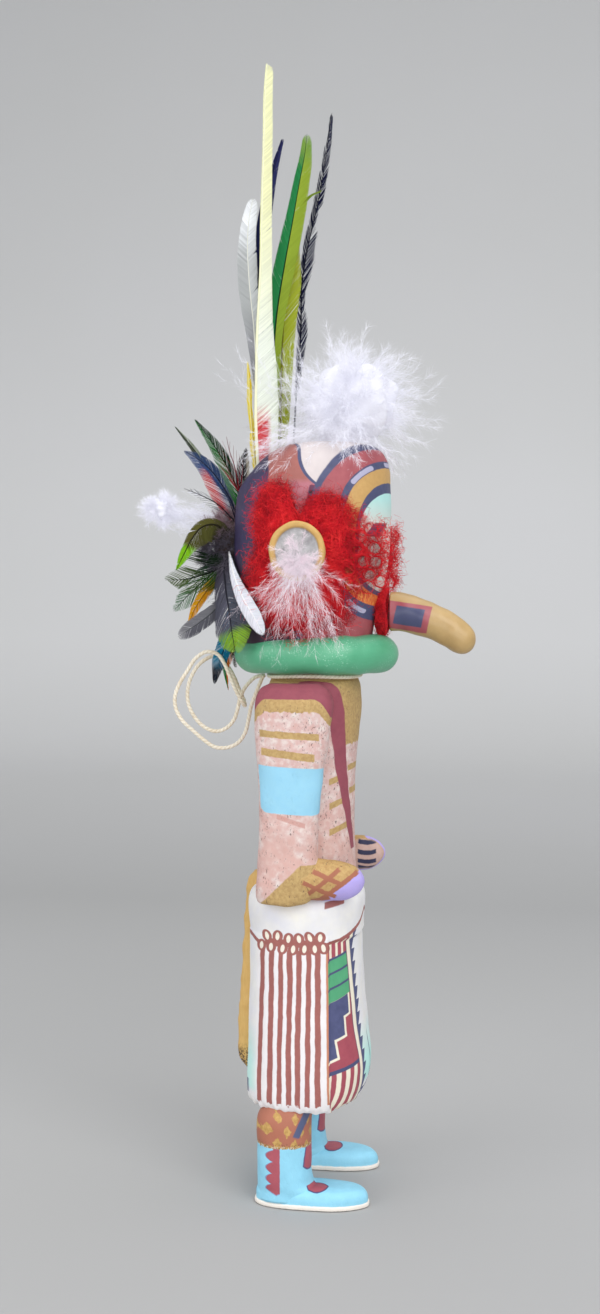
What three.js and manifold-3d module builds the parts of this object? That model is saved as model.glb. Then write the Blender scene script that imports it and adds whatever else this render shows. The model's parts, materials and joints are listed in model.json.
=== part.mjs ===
// Carved and painted kachina doll with a feathered helmet mask.
// Millimetres, +Z up. The doll faces -Y and its right hand side is -X.
import * as THREE from 'three';
import { mergeVertices } from 'three/addons/utils/BufferGeometryUtils.js';
import Module from 'manifold-3d';

const wasm = await Module();
wasm.setup();

// Clearances
const GAP = 0.3;              // between two pieces that touch
const SOCKET_DEPTH = 4;       // how deep a quill or a peg stands in its socket

// Feet and legs
const SOLE_THICK = 1.9;
const SOLE_EDGE = 0.5;        // how far the sole stands out round the moccasin
const FOOT_TOP = 7.6;
const FOOT_HALF = 8;
const HEEL_BACK = 17.6;
const TOE_FRONT = 22.9;
const LEG_APART = 19;         // from the middle of the doll to the middle of a leg
const LEG_HALF = 8.5;
const LEG_FRONT = 2.6;
const LEG_BACK = 17.2;

// Kilt, sash and the pelt behind
const HEM = 35;
const SASH_LOW = 95;
const SASH_TOP = 111;
const SASH_PROUD = 0.8;
const FRINGE_PROUD = 1.1;
const FRINGE_FRONT = 9.2;
const FRINGE_BACK = 21;
const PELT_HALF = 6;
const PELT_PROUD = 3;
const PELT_LOW = 43;

// Body and arms
const SHOULDER = 188;
const NECK = SHOULDER + 2;    // height of the string under the ruff
const ARM_OUT = 26.2;         // middle of an upper arm
const ARM_HALF = 6.8;
const ARMPIT_GAP = 1.4;       // between an arm and the waist
const ELBOW = 118;            // height of the forearm's middle
const RIGHT_TIP = [-22.3, -1]; // the fingertips: how far back, and above the elbow
const LEFT_TIP = [-25.4, 2.6];

// Ruff
const RUFF_ROUND = 7;         // radius of its round edge
const RUFF_MIDDLE = NECK + 1 + RUFF_ROUND;
const RUFF_HALF = 29;
const RUFF_FRONT = 32.3;
const RUFF_BACK = 29;

// Helmet mask
const MASK_HIGH = 78.2;       // from the ruff's middle to the crown
const MASK_TOP = RUFF_MIDDLE + MASK_HIGH;

// Snout
const TENON_RADIUS = 4;
const COLLAR_RADIUS = 5.4;    // the part that the yarn is wound on
const SNOUT_BASE = [-26.4, RUFF_MIDDLE + 15.6];
const YARN_ROUND = 1.7;
const COLLAR_LONG = 2 * YARN_ROUND + 3 * GAP;

// Ears
const EAR_MIDDLE = [-0.1, RUFF_MIDDLE + 36.7];
const EAR_HALF_WIDE = 9.2;
const EAR_HALF_HIGH = 10.5;
const EAR_RIM = 2.2;
const EAR_RECESS = 1.1;
const EAR_THICK = 3.6;
const EAR_FACE = 39.6;        // outer face of the disc from the middle of the doll
const PEG_RADIUS = 4;

// String and cord
const CORD_RADIUS = 0.75;

// Feathers
const QUILL_RADIUS = 0.55;
const VANE_THICK = 0.8;
const FAN_MIDDLE = [0, 30, RUFF_MIDDLE + 40.5];
const FAN_RADIUS = 9;

const up = new THREE.Vector3(0, 0, 1);

function paint(color, roughness = 0.85) {
  return new THREE.MeshStandardMaterial({ color, roughness, metalness: 0 });
}

const cottonwood = paint('#d9b8a8', 0.75);
const tanPaint = paint('#c8a468', 0.6);
const ochre = paint('#c9a96a', 0.7);
const redYarn = paint('#c8141c', 0.95);
const whiteDown = paint('#f4f2f0', 0.95);
const cotton = paint('#e9dfc8', 0.9);
const thread = paint('#3b2a24', 0.9);

// A solid for joining and cutting, from a closed geometry
function toSolid(geometry) {
  const bare = geometry.clone();
  bare.deleteAttribute('normal');
  bare.deleteAttribute('uv');
  const merged = mergeVertices(bare, 1e-4);
  return new wasm.Manifold(new wasm.Mesh({
    numProp: 3,
    vertProperties: new Float32Array(merged.attributes.position.array),
    triVerts: new Uint32Array(merged.index.array),
  }));
}

function toGeometry(solid) {
  const mesh = solid.getMesh();
  const geometry = new THREE.BufferGeometry();
  geometry.setAttribute('position', new THREE.BufferAttribute(mesh.vertProperties, 3));
  geometry.setIndex(new THREE.BufferAttribute(mesh.triVerts, 1));
  return geometry;
}

function join(solids) {
  return solids.reduce((whole, solid) => whole.add(solid));
}

// A closed cylinder whose every point is put in place by a rule.
// The rule gets the direction round the section and the share of the way along.
function shaped(around, steps, place) {
  const geometry = new THREE.CylinderGeometry(1, 1, 1, around, steps);
  const position = geometry.attributes.position;
  for (let i = 0; i < position.count; i += 1) {
    const along = position.getY(i) + 0.5;
    const point = place(position.getX(i), -position.getZ(i), along);
    position.setXYZ(i, point.x, point.y, point.z);
  }
  return geometry;
}

// The point of a squarish oval in the direction (c, s)
function oval(c, s, square) {
  const power = 2 / square;
  return [Math.sign(c) * Math.abs(c) ** power, Math.sign(s) * Math.abs(s) ** power];
}

// A body standing on +Z, from rows of [height, half width, front, back]
function column(rows, { around = 32, square = 2, middle = 0, grow = 0 } = {}) {
  return shaped(around, rows.length - 1, (c, s, along) => {
    const [height, half, front, back] = rows[Math.round(along * (rows.length - 1))];
    const [across, deep] = oval(c, s, square);
    const reach = (front + back) / 2 + grow;
    return new THREE.Vector3(middle + across * (half + grow), (back - front) / 2 + deep * reach, height);
  });
}

// A body along a path, with a half width and a half thickness at each share of the way
function bodyAlong(path, around, steps, face, size) {
  return shaped(around, steps, (c, s, along) => {
    const tangent = path.getTangent(along);
    const out = face.clone().addScaledVector(tangent, -face.dot(tangent)).normalize();
    const wide = out.clone().cross(tangent);
    const [half, thick] = size(along);
    return path.getPoint(along).addScaledVector(wide, c * half).addScaledVector(out, s * thick);
  });
}

function curve(points) {
  return new THREE.CatmullRomCurve3(points.map((point) => new THREE.Vector3(...point)));
}

function pin(radius, from, to, around = 16) {
  const path = new THREE.LineCurve3(new THREE.Vector3(...from), new THREE.Vector3(...to));
  return bodyAlong(path, around, 1, up, () => [radius, radius]);
}

// A rounded lump with three half sizes
function lump(middle, halves, around = 20) {
  const geometry = new THREE.SphereGeometry(1, around, Math.round(around * 0.6));
  geometry.scale(...halves);
  geometry.translate(...middle);
  return toSolid(geometry);
}

// Carved figure

function leg(side) {
  const middle = side * LEG_APART;
  const foot = [
    [0, FOOT_HALF + SOLE_EDGE, TOE_FRONT + SOLE_EDGE, HEEL_BACK + SOLE_EDGE],
    [SOLE_THICK, FOOT_HALF + SOLE_EDGE, TOE_FRONT + SOLE_EDGE, HEEL_BACK + SOLE_EDGE],
    [SOLE_THICK + 0.3, FOOT_HALF, TOE_FRONT, HEEL_BACK],
    [FOOT_TOP - 2.4, FOOT_HALF, TOE_FRONT - 0.3, HEEL_BACK],
    [FOOT_TOP - 0.8, FOOT_HALF - 0.9, TOE_FRONT - 1.6, HEEL_BACK - 0.6],
    [FOOT_TOP, FOOT_HALF - 2.6, TOE_FRONT - 4.2, HEEL_BACK - 2],
  ];
  const shin = [
    [SOLE_THICK, LEG_HALF - 0.6, LEG_FRONT - 1, LEG_BACK],
    [FOOT_TOP + 2, LEG_HALF, LEG_FRONT, LEG_BACK],
    [HEM + 4, LEG_HALF + 0.3, LEG_FRONT + 0.6, LEG_BACK + 0.3],
  ];
  return join([
    toSolid(column(foot, { around: 28, square: 2.7, middle })),
    toSolid(column(shin, { around: 20, square: 2.2, middle })),
  ]);
}

const kiltRows = [
  [HEM, 25.6, 19.6, 23],
  [HEM + 1.6, 26.6, 20.8, 24.2],
  [HEM + 10, 26.8, 21.4, 24.2],
  [HEM + 37, 25.6, 19.6, 22.9],
  [SASH_LOW, 24.8, 18.4, 22],
  [SASH_TOP - 1, 24.4, 17.9, 21.4],
  [SASH_TOP, 23.4, 17, 20.4],
];

function kilt() {
  const skirt = toSolid(column(kiltRows, { around: 32, square: 2.5 }));
  const sashRows = kiltRows.slice(-3);
  const sash = toSolid(column(sashRows, { around: 32, square: 2.5, grow: SASH_PROUD }));
  const draped = toSolid(column(kiltRows, { around: 32, square: 2.5, grow: FRINGE_PROUD }));
  const width = FRINGE_FRONT + FRINGE_BACK;
  const hang = new THREE.BoxGeometry(40, width, SASH_LOW + 2 - HEM);
  hang.translate(-20, (FRINGE_BACK - FRINGE_FRONT) / 2, (SASH_LOW + 2 + HEM) / 2);
  const fringe = draped.intersect(toSolid(hang));
  const peltBack = kiltRows[4][3] + PELT_PROUD;
  const pelt = toSolid(column([
    [PELT_LOW, PELT_HALF * 0.35, 0, peltBack - 1.5],
    [PELT_LOW + 3, PELT_HALF * 0.8, 0, peltBack + 1.2],
    [PELT_LOW + 20, PELT_HALF, 0, peltBack + 2],
    [SASH_LOW - 20, PELT_HALF, 0, peltBack + 1],
    [SASH_LOW + 8, PELT_HALF * 0.8, 0, peltBack],
  ], { around: 20, square: 3 }));
  return join([skirt, sash, fringe, pelt]);
}

const waistHalf = ARM_OUT - ARM_HALF - ARMPIT_GAP;
const armLong = SHOULDER - ELBOW;
const torsoRows = [
  [SASH_TOP - 4, waistHalf + 1.5, 17.2, 17],
  [ELBOW + armLong * 0.2, waistHalf, 15.8, 15.8],
  [ELBOW + armLong * 0.514, waistHalf + 1, 16.2, 15.8],
  [ELBOW + armLong * 0.686, waistHalf + 3, 17.2, 16],
  [SHOULDER - 9, 23.6, 18.4, 16.6],
  [SHOULDER - 1.6, 23.4, 17.9, 15.8],
  [SHOULDER, 21.6, 17.4, 15.2],
  [SHOULDER + 0.6, 19.2, 17.2, 15],
  [RUFF_MIDDLE, 19, 17, 14.6],
];

function arm(side, tip) {
  const middle = side * ARM_OUT;
  const [reach, rise] = tip;
  const upper = toSolid(column([
    [ELBOW - 9, ARM_HALF - 2.6, -2, 13],
    [ELBOW - 7.6, ARM_HALF - 0.8, 3, 16],
    [ELBOW - 2, ARM_HALF - 0.2, 6, 16.4],
    [ELBOW + armLong * 0.14, ARM_HALF - 0.4, 5.8, 15.6],
    [ELBOW + armLong * 0.57, ARM_HALF, 8, 15.9],
    [ELBOW + armLong * 0.77, ARM_HALF + 0.4, 10.4, 17],
    [SHOULDER - 6, ARM_HALF + 0.2, 11.4, 16.6],
    [SHOULDER - 2, ARM_HALF - 1.6, 9.6, 15],
    [SHOULDER, ARM_HALF - 3.8, 6, 12],
  ], { around: 20, square: 2.5, middle }));
  const path = curve([
    [side * ARM_OUT, 12, ELBOW],
    [side * (ARM_OUT - 0.4), -2, ELBOW + 0.2],
    [side * (ARM_OUT - 2.4), reach / 2 - 3, ELBOW + rise * 0.6],
    [side * (ARM_OUT - 4.6), reach, ELBOW + rise],
  ]);
  const forearm = toSolid(bodyAlong(path, 16, 10, up, (along) => {
    const round = Math.sqrt(1 - (Math.max(0, along - 0.72) / 0.285) ** 2);
    return [(6.6 - along) * round, (8.2 - 1.6 * along) * round];
  }));
  return join([upper, forearm]);
}

function ruff() {
  const rows = [];
  for (let i = 0; i <= 8; i += 1) {
    const turn = (i / 8 - 0.5) * Math.PI * 0.96;
    const inset = RUFF_ROUND * (1 - Math.cos(turn));
    const height = RUFF_MIDDLE + RUFF_ROUND * Math.sin(turn);
    rows.push([height, RUFF_HALF - inset, RUFF_FRONT - inset, RUFF_BACK - inset]);
  }
  return column(rows, { around: 36 });
}

const maskRows = [
  [RUFF_MIDDLE + 4, 25, 25, 27.4],
  [RUFF_MIDDLE + 14, 26, 26, 28.2],
  [RUFF_MIDDLE + 24, 26.8, 27.2, 28.6],
  [RUFF_MIDDLE + 36, 27.2, 28.7, 28.8],
  [RUFF_MIDDLE + 52, 27.2, 29.3, 28.5],
  [RUFF_MIDDLE + 62, 26.6, 29.3, 26.8],
  [RUFF_MIDDLE + 68, 25, 29, 22.6],
  [RUFF_MIDDLE + 72.5, 22.6, 27.8, 18.2],
  [RUFF_MIDDLE + 75.6, 19.4, 25.6, 13.8],
  [RUFF_MIDDLE + 77.4, 15.6, 22, 9],
  [MASK_TOP, 10.5, 16, 3.5],
];

function mask(grow = 0) {
  return toSolid(column(maskRows, { around: 32, square: 2.2, grow }));
}

// Feathers: a bare quill, then a vane that swells and runs out to the tip.
// Each has its path, its widest half width, where its vane starts and how sudden its tip is.
// Heights of feathers are counted from the middle of the ruff.

function featherSize({ half, vane, blunt = 1 }, grow) {
  return (along) => {
    const swell = THREE.MathUtils.smoothstep(along, vane, vane + 0.22);
    const taper = 1 - Math.max(0, (along - 0.6) / 0.4) ** (1.2 + blunt);
    const wide = QUILL_RADIUS + (half - QUILL_RADIUS) * swell * Math.max(0.1, taper);
    const thick = THREE.MathUtils.lerp(QUILL_RADIUS, VANE_THICK / 2, swell);
    return [wide + grow, thick + grow];
  };
}

function feather(spec, grow = 0) {
  const face = new THREE.Vector3(...(spec.face ?? [-1, 0, 0])).normalize();
  const path = spec.path.map(([x, y, z]) => [x, y, z + RUFF_MIDDLE]);
  return bodyAlong(curve(path), 6, 9, face, featherSize(spec, grow));
}

const crownFeathers = {
  cream: { color: '#eef0c8', half: 4.4, vane: 0.03, blunt: 2,
    path: [[-8, 18.6, 64], [-8, 18, 102], [-7.5, 15.4, 152], [-7, 16.4, 219]] },
  navy: { color: '#252a4a', half: 2.4, vane: 0.12, blunt: 2,
    path: [[2.5, 19.5, 62], [2.5, 20.6, 102], [2.5, 19, 152], [2.5, 11.6, 193]] },
  green: { color: '#2f8a4a', half: 3, vane: 0.2, blunt: 1,
    path: [[-3.4, 12.6, 66], [-3.4, 11.6, 107], [-3.2, 8.4, 147], [-3, 2.2, 194]] },
  lime: { color: '#9ab52a', half: 3, vane: 0.22, blunt: 1,
    path: [[-0.4, 9.4, 67], [-0.4, 8.2, 102], [-0.4, 5, 137], [-0.2, -2.4, 173.5]] },
  black: { color: '#1a1d2e', half: 1.6, vane: 0.25, blunt: 0,
    path: [[2.6, 5.4, 68], [2.6, 4.4, 112], [2.6, -0.4, 157], [2.6, -7, 201.5]] },
  grey: { color: '#cdd3da', half: 3.6, vane: 0.2, blunt: 2,
    path: [[-0.4, 22.4, 59], [-0.4, 23.6, 92], [-0.4, 24.6, 132], [-0.4, 24, 171]] },
  yellow: { color: '#e3cf3a', half: 1.4, vane: 0.15, blunt: 1,
    path: [[-4.2, 21.6, 60], [-4.2, 22.8, 82], [-4, 23.4, 97], [-4, 23.8, 111]] },
};

// The fan behind the head. Each feather leaves the binding in its own direction.
// The angle is counted from straight back, upwards, and lean is the share towards the side.
const fanFeathers = {
  green_upright: { color: '#1f6b3c', half: 1.9, angle: 58, lean: -0.12, layer: -3.4, tip: [45.2, 88.2] },
  olive_thin: { color: '#5d6a2c', half: 1, angle: 48, lean: 0.2, layer: 2.4, tip: [52.2, 85.7] },
  blue_and_red: { color: '#2b4f8f', half: 2.2, angle: 42, lean: 0.03, layer: -0.6, tip: [49.1, 76.5] },
  red_wisp: { color: '#b3282e', half: 1.4, angle: 68, lean: -0.3, layer: -5.4, tip: [30.4, 83.8], bow: 1 },
  black_upright: { color: '#15161c', half: 2, angle: 70, lean: 0.06, layer: 1, tip: [28, 75.2], bow: 1.4 },
  dark_barbed: { color: '#23262e', half: 1.8, angle: 20, lean: -0.2, layer: -3.2, tip: [54.5, 61.6] },
  olive_drooping: { color: '#6f8f2a', half: 3.2, angle: 28, lean: -0.55, layer: -9.6, tip: [52.2, 24.6], bow: 9 },
  green_barbed: { color: '#16402f', half: 3.4, angle: -14, lean: -0.3, layer: -5.2, tip: [56.5, 28.6], bow: 3 },
  green_low: { color: '#2c7a45', half: 2.4, angle: -30, lean: 0.3, layer: 4.4, tip: [54.2, 15.6], bow: 2 },
  yellow_low: { color: '#d8b23a', half: 1.8, angle: -46, lean: 0.06, layer: 1, tip: [48, 9.9], bow: 2 },
  grey_low: { color: '#8f9499', half: 2.4, angle: -38, lean: -0.5, layer: -7.6, tip: [49.4, 7], bow: 3 },
  teal_and_black: { color: '#1b7d92', half: 2.3, angle: -66, lean: -0.12, layer: -1.6, tip: [37.9, -11.5], bow: 2 },
  orange_and_green: { color: '#c9772a', half: 1.8, angle: -72, lean: 0.2, layer: 2, tip: [32.1, -13.8], bow: 2.6 },
  dark_small: { color: '#2a2a2c', half: 1.5, angle: -72, lean: -0.4, layer: -5.6, tip: [32.6, -4.9], bow: 3 },
  grey_and_lime: { color: '#6f747c', half: 7.2, blunt: 5, path: [[-6.4, 30.6, 36.4], [-10, 31.2, 33],
    [-15, 30, 25], [-20, 27.8, 16.6], [-23, 26, 8], [-24.4, 24.4, 0.6]], face: [-0.85, 0.52, 0] },
  puff_stalk: { color: '#f4f2f0', half: 0.7, angle: 32, lean: 0.3, layer: 5, tip: [62, 54.6], bow: 1 },
  white_side: { color: '#eceef2', half: 2.8, blunt: 3, path: [[-7.2, 30, 39.4], [-17, 28.6, 31],
    [-26, 22.6, 20.6], [-31, 16.8, 13.4], [-33, 12.5, 7.9]], face: [-0.8, 0.58, 0.15] },
};

// A fan feather's path, from its socket in the binding to its tip
function fanPath({ angle, lean, layer, tip, bow = 0 }) {
  const turn = THREE.MathUtils.degToRad(angle);
  const flat = Math.sqrt(1 - lean * lean);
  const middle = new THREE.Vector3(...FAN_MIDDLE);
  middle.z -= RUFF_MIDDLE;
  const way = new THREE.Vector3(lean, Math.cos(turn) * flat, Math.sin(turn) * flat);
  const root = middle.clone().addScaledVector(way, FAN_RADIUS - SOCKET_DEPTH / 2);
  const clear = middle.clone().addScaledVector(way, FAN_RADIUS + SOCKET_DEPTH / 2);
  const end = new THREE.Vector3(layer, tip[0], tip[1]);
  const half = clear.clone().lerp(end, 0.5);
  half.x = layer;
  half.y += bow * 0.5;
  half.z += bow;
  return [root, clear, half, end].map((point) => point.toArray());
}

for (const spec of Object.values(fanFeathers)) {
  spec.vane = 0.16;
  spec.path = spec.path ?? fanPath(spec);
}

function puff() {
  const [x, y, z] = FAN_MIDDLE;
  const tuft = lump([x + 5, y + 26, z + 13.5], [6, 12.6, 7.6], 14);
  return fanSockets.reduce((down, quill) => down.subtract(quill), tuft);
}

function binding() {
  return lump(FAN_MIDDLE, [FAN_RADIUS, FAN_RADIUS, FAN_RADIUS + 1.5], 14);
}

// Snout: a tenon in the mask, a collar under the yarn and a beak that curves down

function snout() {
  const [front, height] = SNOUT_BASE;
  const start = front - GAP - COLLAR_LONG;
  const tenon = toSolid(pin(TENON_RADIUS, [0, front + SOCKET_DEPTH, height], [0, start, height]));
  const collar = toSolid(pin(COLLAR_RADIUS, [0, front + 1, height], [0, start - 1, height]));
  const path = curve([
    [0, start, height],
    [0, start - 2.4, height - 0.1],
    [0, start - 8, height - 1.6],
    [0, start - 15.2, height - 4.2],
    [0, start - 21.8, height - 8],
    [0, start - 28.8, height - 14],
  ]);
  const beak = toSolid(bodyAlong(path, 16, 12, up, (along) => {
    const round = Math.sqrt(1 - (Math.max(0, along - 0.8) / 0.206) ** 2);
    return [(6.6 - 1.4 * along) * round, (7.4 - 1.9 * along) * round];
  }));
  return join([collar, beak]).subtract(mask(GAP)).add(tenon);
}

function snoutYarn() {
  const ring = new THREE.TorusGeometry(COLLAR_RADIUS + GAP + YARN_ROUND, YARN_ROUND, 6, 20);
  ring.rotateX(Math.PI / 2);
  ring.translate(0, SNOUT_BASE[0] - GAP - YARN_ROUND - 0.1, SNOUT_BASE[1]);
  return toSolid(ring).subtract(mask(GAP));
}

// Ears: an oval disc with a shallow recess, on a peg that stands in the mask

function earPeg(side, grow = 0) {
  const inner = maskRows[3][1] - SOCKET_DEPTH - grow;
  const outer = EAR_FACE - EAR_THICK / 2;
  const at = [EAR_MIDDLE[0], EAR_MIDDLE[1]];
  const ends = [[side * inner, ...at], [side * outer, ...at]];
  return toSolid(pin(PEG_RADIUS + grow, ...ends, 12));
}

function earDisc(side, grow = 0) {
  const disc = new THREE.CylinderGeometry(1, 1, EAR_THICK + 2 * grow, 28);
  disc.rotateZ(Math.PI / 2);
  disc.scale(1, EAR_HALF_WIDE + grow, EAR_HALF_HIGH + grow);
  disc.translate(side * (EAR_FACE - EAR_THICK / 2), ...EAR_MIDDLE);
  return toSolid(disc);
}

function ear(side) {
  const recess = lump([side * (EAR_FACE + 2), ...EAR_MIDDLE],
    [2 + EAR_RECESS, EAR_HALF_WIDE - EAR_RIM + 1.6, EAR_HALF_HIGH - EAR_RIM + 1.6], 18);
  return earDisc(side).add(earPeg(side)).subtract(recess);
}

function earWool(side) {
  const [y, z] = EAR_MIDDLE;
  const wool = lump([side * (maskRows[3][1] + 1.2), y - 4.9, z + 0.7], [8.4, 23.6, 28], 18);
  return wool.subtract(mask(GAP)).subtract(earDisc(side, GAP)).subtract(earPeg(side, GAP));
}

function earDown(side) {
  const tuft = toSolid(bodyAlong(curve([
    [side * (EAR_FACE + 2.2), EAR_MIDDLE[0], EAR_MIDDLE[1] + 2.5],
    [side * (EAR_FACE + 3.4), EAR_MIDDLE[0], EAR_MIDDLE[1] - 14],
    [side * (EAR_FACE + 1.6), EAR_MIDDLE[0], EAR_MIDDLE[1] - 38],
  ]), 12, 6, new THREE.Vector3(side, 0, 0), (along) => [3 + 11 * Math.sin(along * 2.6), 1.6 + 1.2 * along]));
  return tuft.subtract(earDisc(side, GAP)).subtract(earWool(side).translate(side * GAP, 0, 0));
}

function crownDown() {
  const tuft = lump([0, -19.4, MASK_TOP + 17.8], [21, 23.6, 22], 20);
  const root = lump([0, -4, MASK_TOP + 6.8], [13, 10, 9], 12);
  return tuft.add(root).subtract(mask(GAP));
}

// The string round the neck, and the cord that hangs behind

function neckString() {
  const around = new THREE.CatmullRomCurve3([], true);
  const reach = CORD_RADIUS + GAP;
  const [, half, front, back] = torsoRows.at(-2);
  for (let i = 0; i < 24; i += 1) {
    const turn = (i / 24) * Math.PI * 2;
    const [across, deep] = oval(Math.cos(turn), Math.sin(turn), 2.2);
    const y = (back - front) / 2 + deep * ((front + back) / 2 + reach);
    around.points.push(new THREE.Vector3(across * (half + reach), y, NECK));
  }
  return cordTube(around, 32);
}

function cordTube(path, steps) {
  const section = new THREE.Shape();
  for (let i = 0; i < 8; i += 1) {
    const turn = (i / 8) * Math.PI * 2;
    const point = [CORD_RADIUS * Math.cos(turn), CORD_RADIUS * Math.sin(turn)];
    if (i === 0) section.moveTo(...point);
    else section.lineTo(...point);
  }
  return new THREE.ExtrudeGeometry(section, { steps, extrudePath: path, curveSegments: 1 });
}

// Points along the hanging cord, from the neck and back to it
const CORD_ROUTE = [
  [-2, 18.2, 189.6], [-2, 20.8, 183.4], [-1, 23, 177.8], [0, 24.2, 172.8], [0, 25.6, 167.6],
  [0, 28.2, 164], [0, 32.4, 162.1], [0, 37, 162.2], [0, 41.6, 165], [-1, 45.6, 168.6],
  [-2, 49.4, 172.4], [-2, 51.8, 176.8], [-2, 52.2, 181], [-2, 50.4, 186.2], [-2, 47.4, 191],
  [-2.6, 43.6, 196.2], [-3.2, 39.6, 198.4], [-3.4, 35.6, 197.6], [-3.4, 32.6, 193.6], [-3.3, 30.4, 188.4],
  [-3, 28, 183], [-2.2, 26.3, 179.7], [0, 25.6, 178], [2.2, 26.3, 179.7], [3, 28, 183],
  [3.4, 30.4, 188.6], [3.6, 33.4, 193.4], [3.4, 37.6, 196.6], [2.8, 42.4, 194.6], [2, 46.2, 189.8],
  [1.6, 48, 184], [1.6, 47.8, 178.6], [1.8, 45.4, 173.4], [2.2, 41.4, 169.4], [2.4, 37, 168],
  [2, 33, 169.4], [1.2, 30, 172.6], [0.4, 28.4, 177], [0.4, 27.4, 181.2], [1.2, 24.8, 186],
  [2, 21.6, 188.8], [2, 18.2, 189.4],
];

// The parts that are cut to fit one another

const ruffSolid = toSolid(ruff());
const fanSockets = Object.values(fanFeathers).map((spec) => toSolid(feather(spec, GAP)));
const snoutSocket = toSolid(pin(TENON_RADIUS + GAP,
  [0, SNOUT_BASE[0] + SOCKET_DEPTH + GAP, SNOUT_BASE[1]], [0, SNOUT_BASE[0] - 4, SNOUT_BASE[1]]));
const fanSeat = lump(FAN_MIDDLE, [FAN_RADIUS + GAP, FAN_RADIUS + GAP, FAN_RADIUS + 1.5 + GAP], 14);

function figure() {
  const carved = join([leg(-1), leg(1), kilt(), toSolid(column(torsoRows, { around: 28, square: 2.2 })),
    arm(-1, RIGHT_TIP), arm(1, LEFT_TIP), ruffSolid, mask()]);
  const cuts = [snoutSocket, fanSeat, earPeg(-1, GAP), earPeg(1, GAP)];
  cuts.push(...Object.values(crownFeathers).map((spec) => toSolid(feather(spec, GAP))));
  return cuts.reduce((whole, cut) => whole.subtract(cut), carved);
}

const doll = new THREE.Group();

function add(name, geometry, material) {
  const piece = new THREE.Mesh(geometry, material);
  piece.name = name;
  doll.add(piece);
  return piece;
}

add('figure', toGeometry(figure()), cottonwood);
add('snout', toGeometry(snout()), tanPaint);
add('snout_yarn', toGeometry(snoutYarn()), redYarn);
for (const [name, side] of [['right', -1], ['left', 1]]) {
  add(`ear_${name}`, toGeometry(ear(side)), ochre);
  add(`ear_wool_${name}`, toGeometry(earWool(side)), redYarn);
  add(`ear_down_${name}`, toGeometry(earDown(side)), whiteDown);
}
const crownQuills = Object.values(crownFeathers).map((spec) => toSolid(feather(spec, GAP)));
add('crown_down', toGeometry(crownQuills.reduce((tuft, quill) => tuft.subtract(quill), crownDown())), whiteDown);
for (const [name, spec] of Object.entries(crownFeathers)) {
  add(`crown_feather_${name}`, feather(spec), paint(spec.color, 0.6));
}
add('fan_binding', toGeometry(fanSockets.reduce((knot, quill) => knot.subtract(quill), binding())), thread);
for (const [name, spec] of Object.entries(fanFeathers)) {
  add(`fan_feather_${name}`, feather(spec), paint(spec.color, 0.6));
}
add('fan_puff', toGeometry(puff()), whiteDown);
add('neck_string', neckString(), cotton);
add('hanging_cord', cordTube(curve(CORD_ROUTE), 76), cotton);

// The origin is on the floor, in the middle of the doll without its hanging cord
const reach = new THREE.Box3();
for (const piece of doll.children) {
  if (piece.name !== 'hanging_cord') reach.expandByObject(piece);
}
const middle = reach.getCenter(new THREE.Vector3());
doll.position.set(-middle.x, -middle.y, -reach.min.z);

export default doll;
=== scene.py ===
import math
import json
import bpy
import numpy as np
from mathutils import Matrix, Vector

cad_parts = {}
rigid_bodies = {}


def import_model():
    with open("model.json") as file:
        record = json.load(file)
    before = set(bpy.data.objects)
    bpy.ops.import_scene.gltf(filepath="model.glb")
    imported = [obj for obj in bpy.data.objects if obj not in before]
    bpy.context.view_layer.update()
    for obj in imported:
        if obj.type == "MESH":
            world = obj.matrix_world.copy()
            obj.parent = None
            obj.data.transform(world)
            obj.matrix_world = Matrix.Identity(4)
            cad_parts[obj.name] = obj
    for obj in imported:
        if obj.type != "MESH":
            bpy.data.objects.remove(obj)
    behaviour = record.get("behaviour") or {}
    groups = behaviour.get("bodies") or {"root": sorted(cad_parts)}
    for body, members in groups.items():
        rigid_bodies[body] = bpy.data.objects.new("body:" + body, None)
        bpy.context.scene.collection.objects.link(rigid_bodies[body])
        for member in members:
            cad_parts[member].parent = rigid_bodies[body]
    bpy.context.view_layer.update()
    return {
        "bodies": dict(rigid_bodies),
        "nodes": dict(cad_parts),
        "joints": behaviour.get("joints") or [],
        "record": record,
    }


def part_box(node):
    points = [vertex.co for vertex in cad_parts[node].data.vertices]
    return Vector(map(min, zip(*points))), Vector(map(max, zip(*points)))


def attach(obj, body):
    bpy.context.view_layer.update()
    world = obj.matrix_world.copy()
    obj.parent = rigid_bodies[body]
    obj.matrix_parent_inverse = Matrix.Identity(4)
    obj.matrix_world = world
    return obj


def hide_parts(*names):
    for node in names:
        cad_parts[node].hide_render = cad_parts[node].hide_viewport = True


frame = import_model()
figureLow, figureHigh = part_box("figure")

# The doll is worked out in millimetres round its own axis: it faces -Y, and its right hand side is -X.
ruffFront = 32.3
axisShift = np.array([0.0, figureLow[1] * 1000 + ruffFront, 0.0])   # from the doll's axis to the frame's


def inFrame(points):
    # millimetres round the doll's axis, as metres in the frame
    return (np.asarray(points, float) + axisShift) * 0.001


# Surfaces

def smoothRows(rows, count):
    # a smooth curve through rows of any width, as count rows evenly spaced along it
    rows = np.asarray(rows, float)
    steps = np.sqrt((np.diff(rows, axis=0) ** 2).sum(1))
    at = np.concatenate([[0.0], np.cumsum(steps)])
    slope = np.gradient(rows, at, axis=0)
    asked = np.linspace(0.0, at[-1], count)
    i = np.clip(np.searchsorted(at, asked, side="right") - 1, 0, len(at) - 2)
    gap = (at[i + 1] - at[i])[:, None]
    f = ((asked - at[i])[:, None]) / gap
    return ((2 * f ** 3 - 3 * f ** 2 + 1) * rows[i] + (f ** 3 - 2 * f ** 2 + f) * gap * slope[i]
            + (3 * f ** 2 - 2 * f ** 3) * rows[i + 1] + (f ** 3 - f ** 2) * gap * slope[i + 1])


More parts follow.
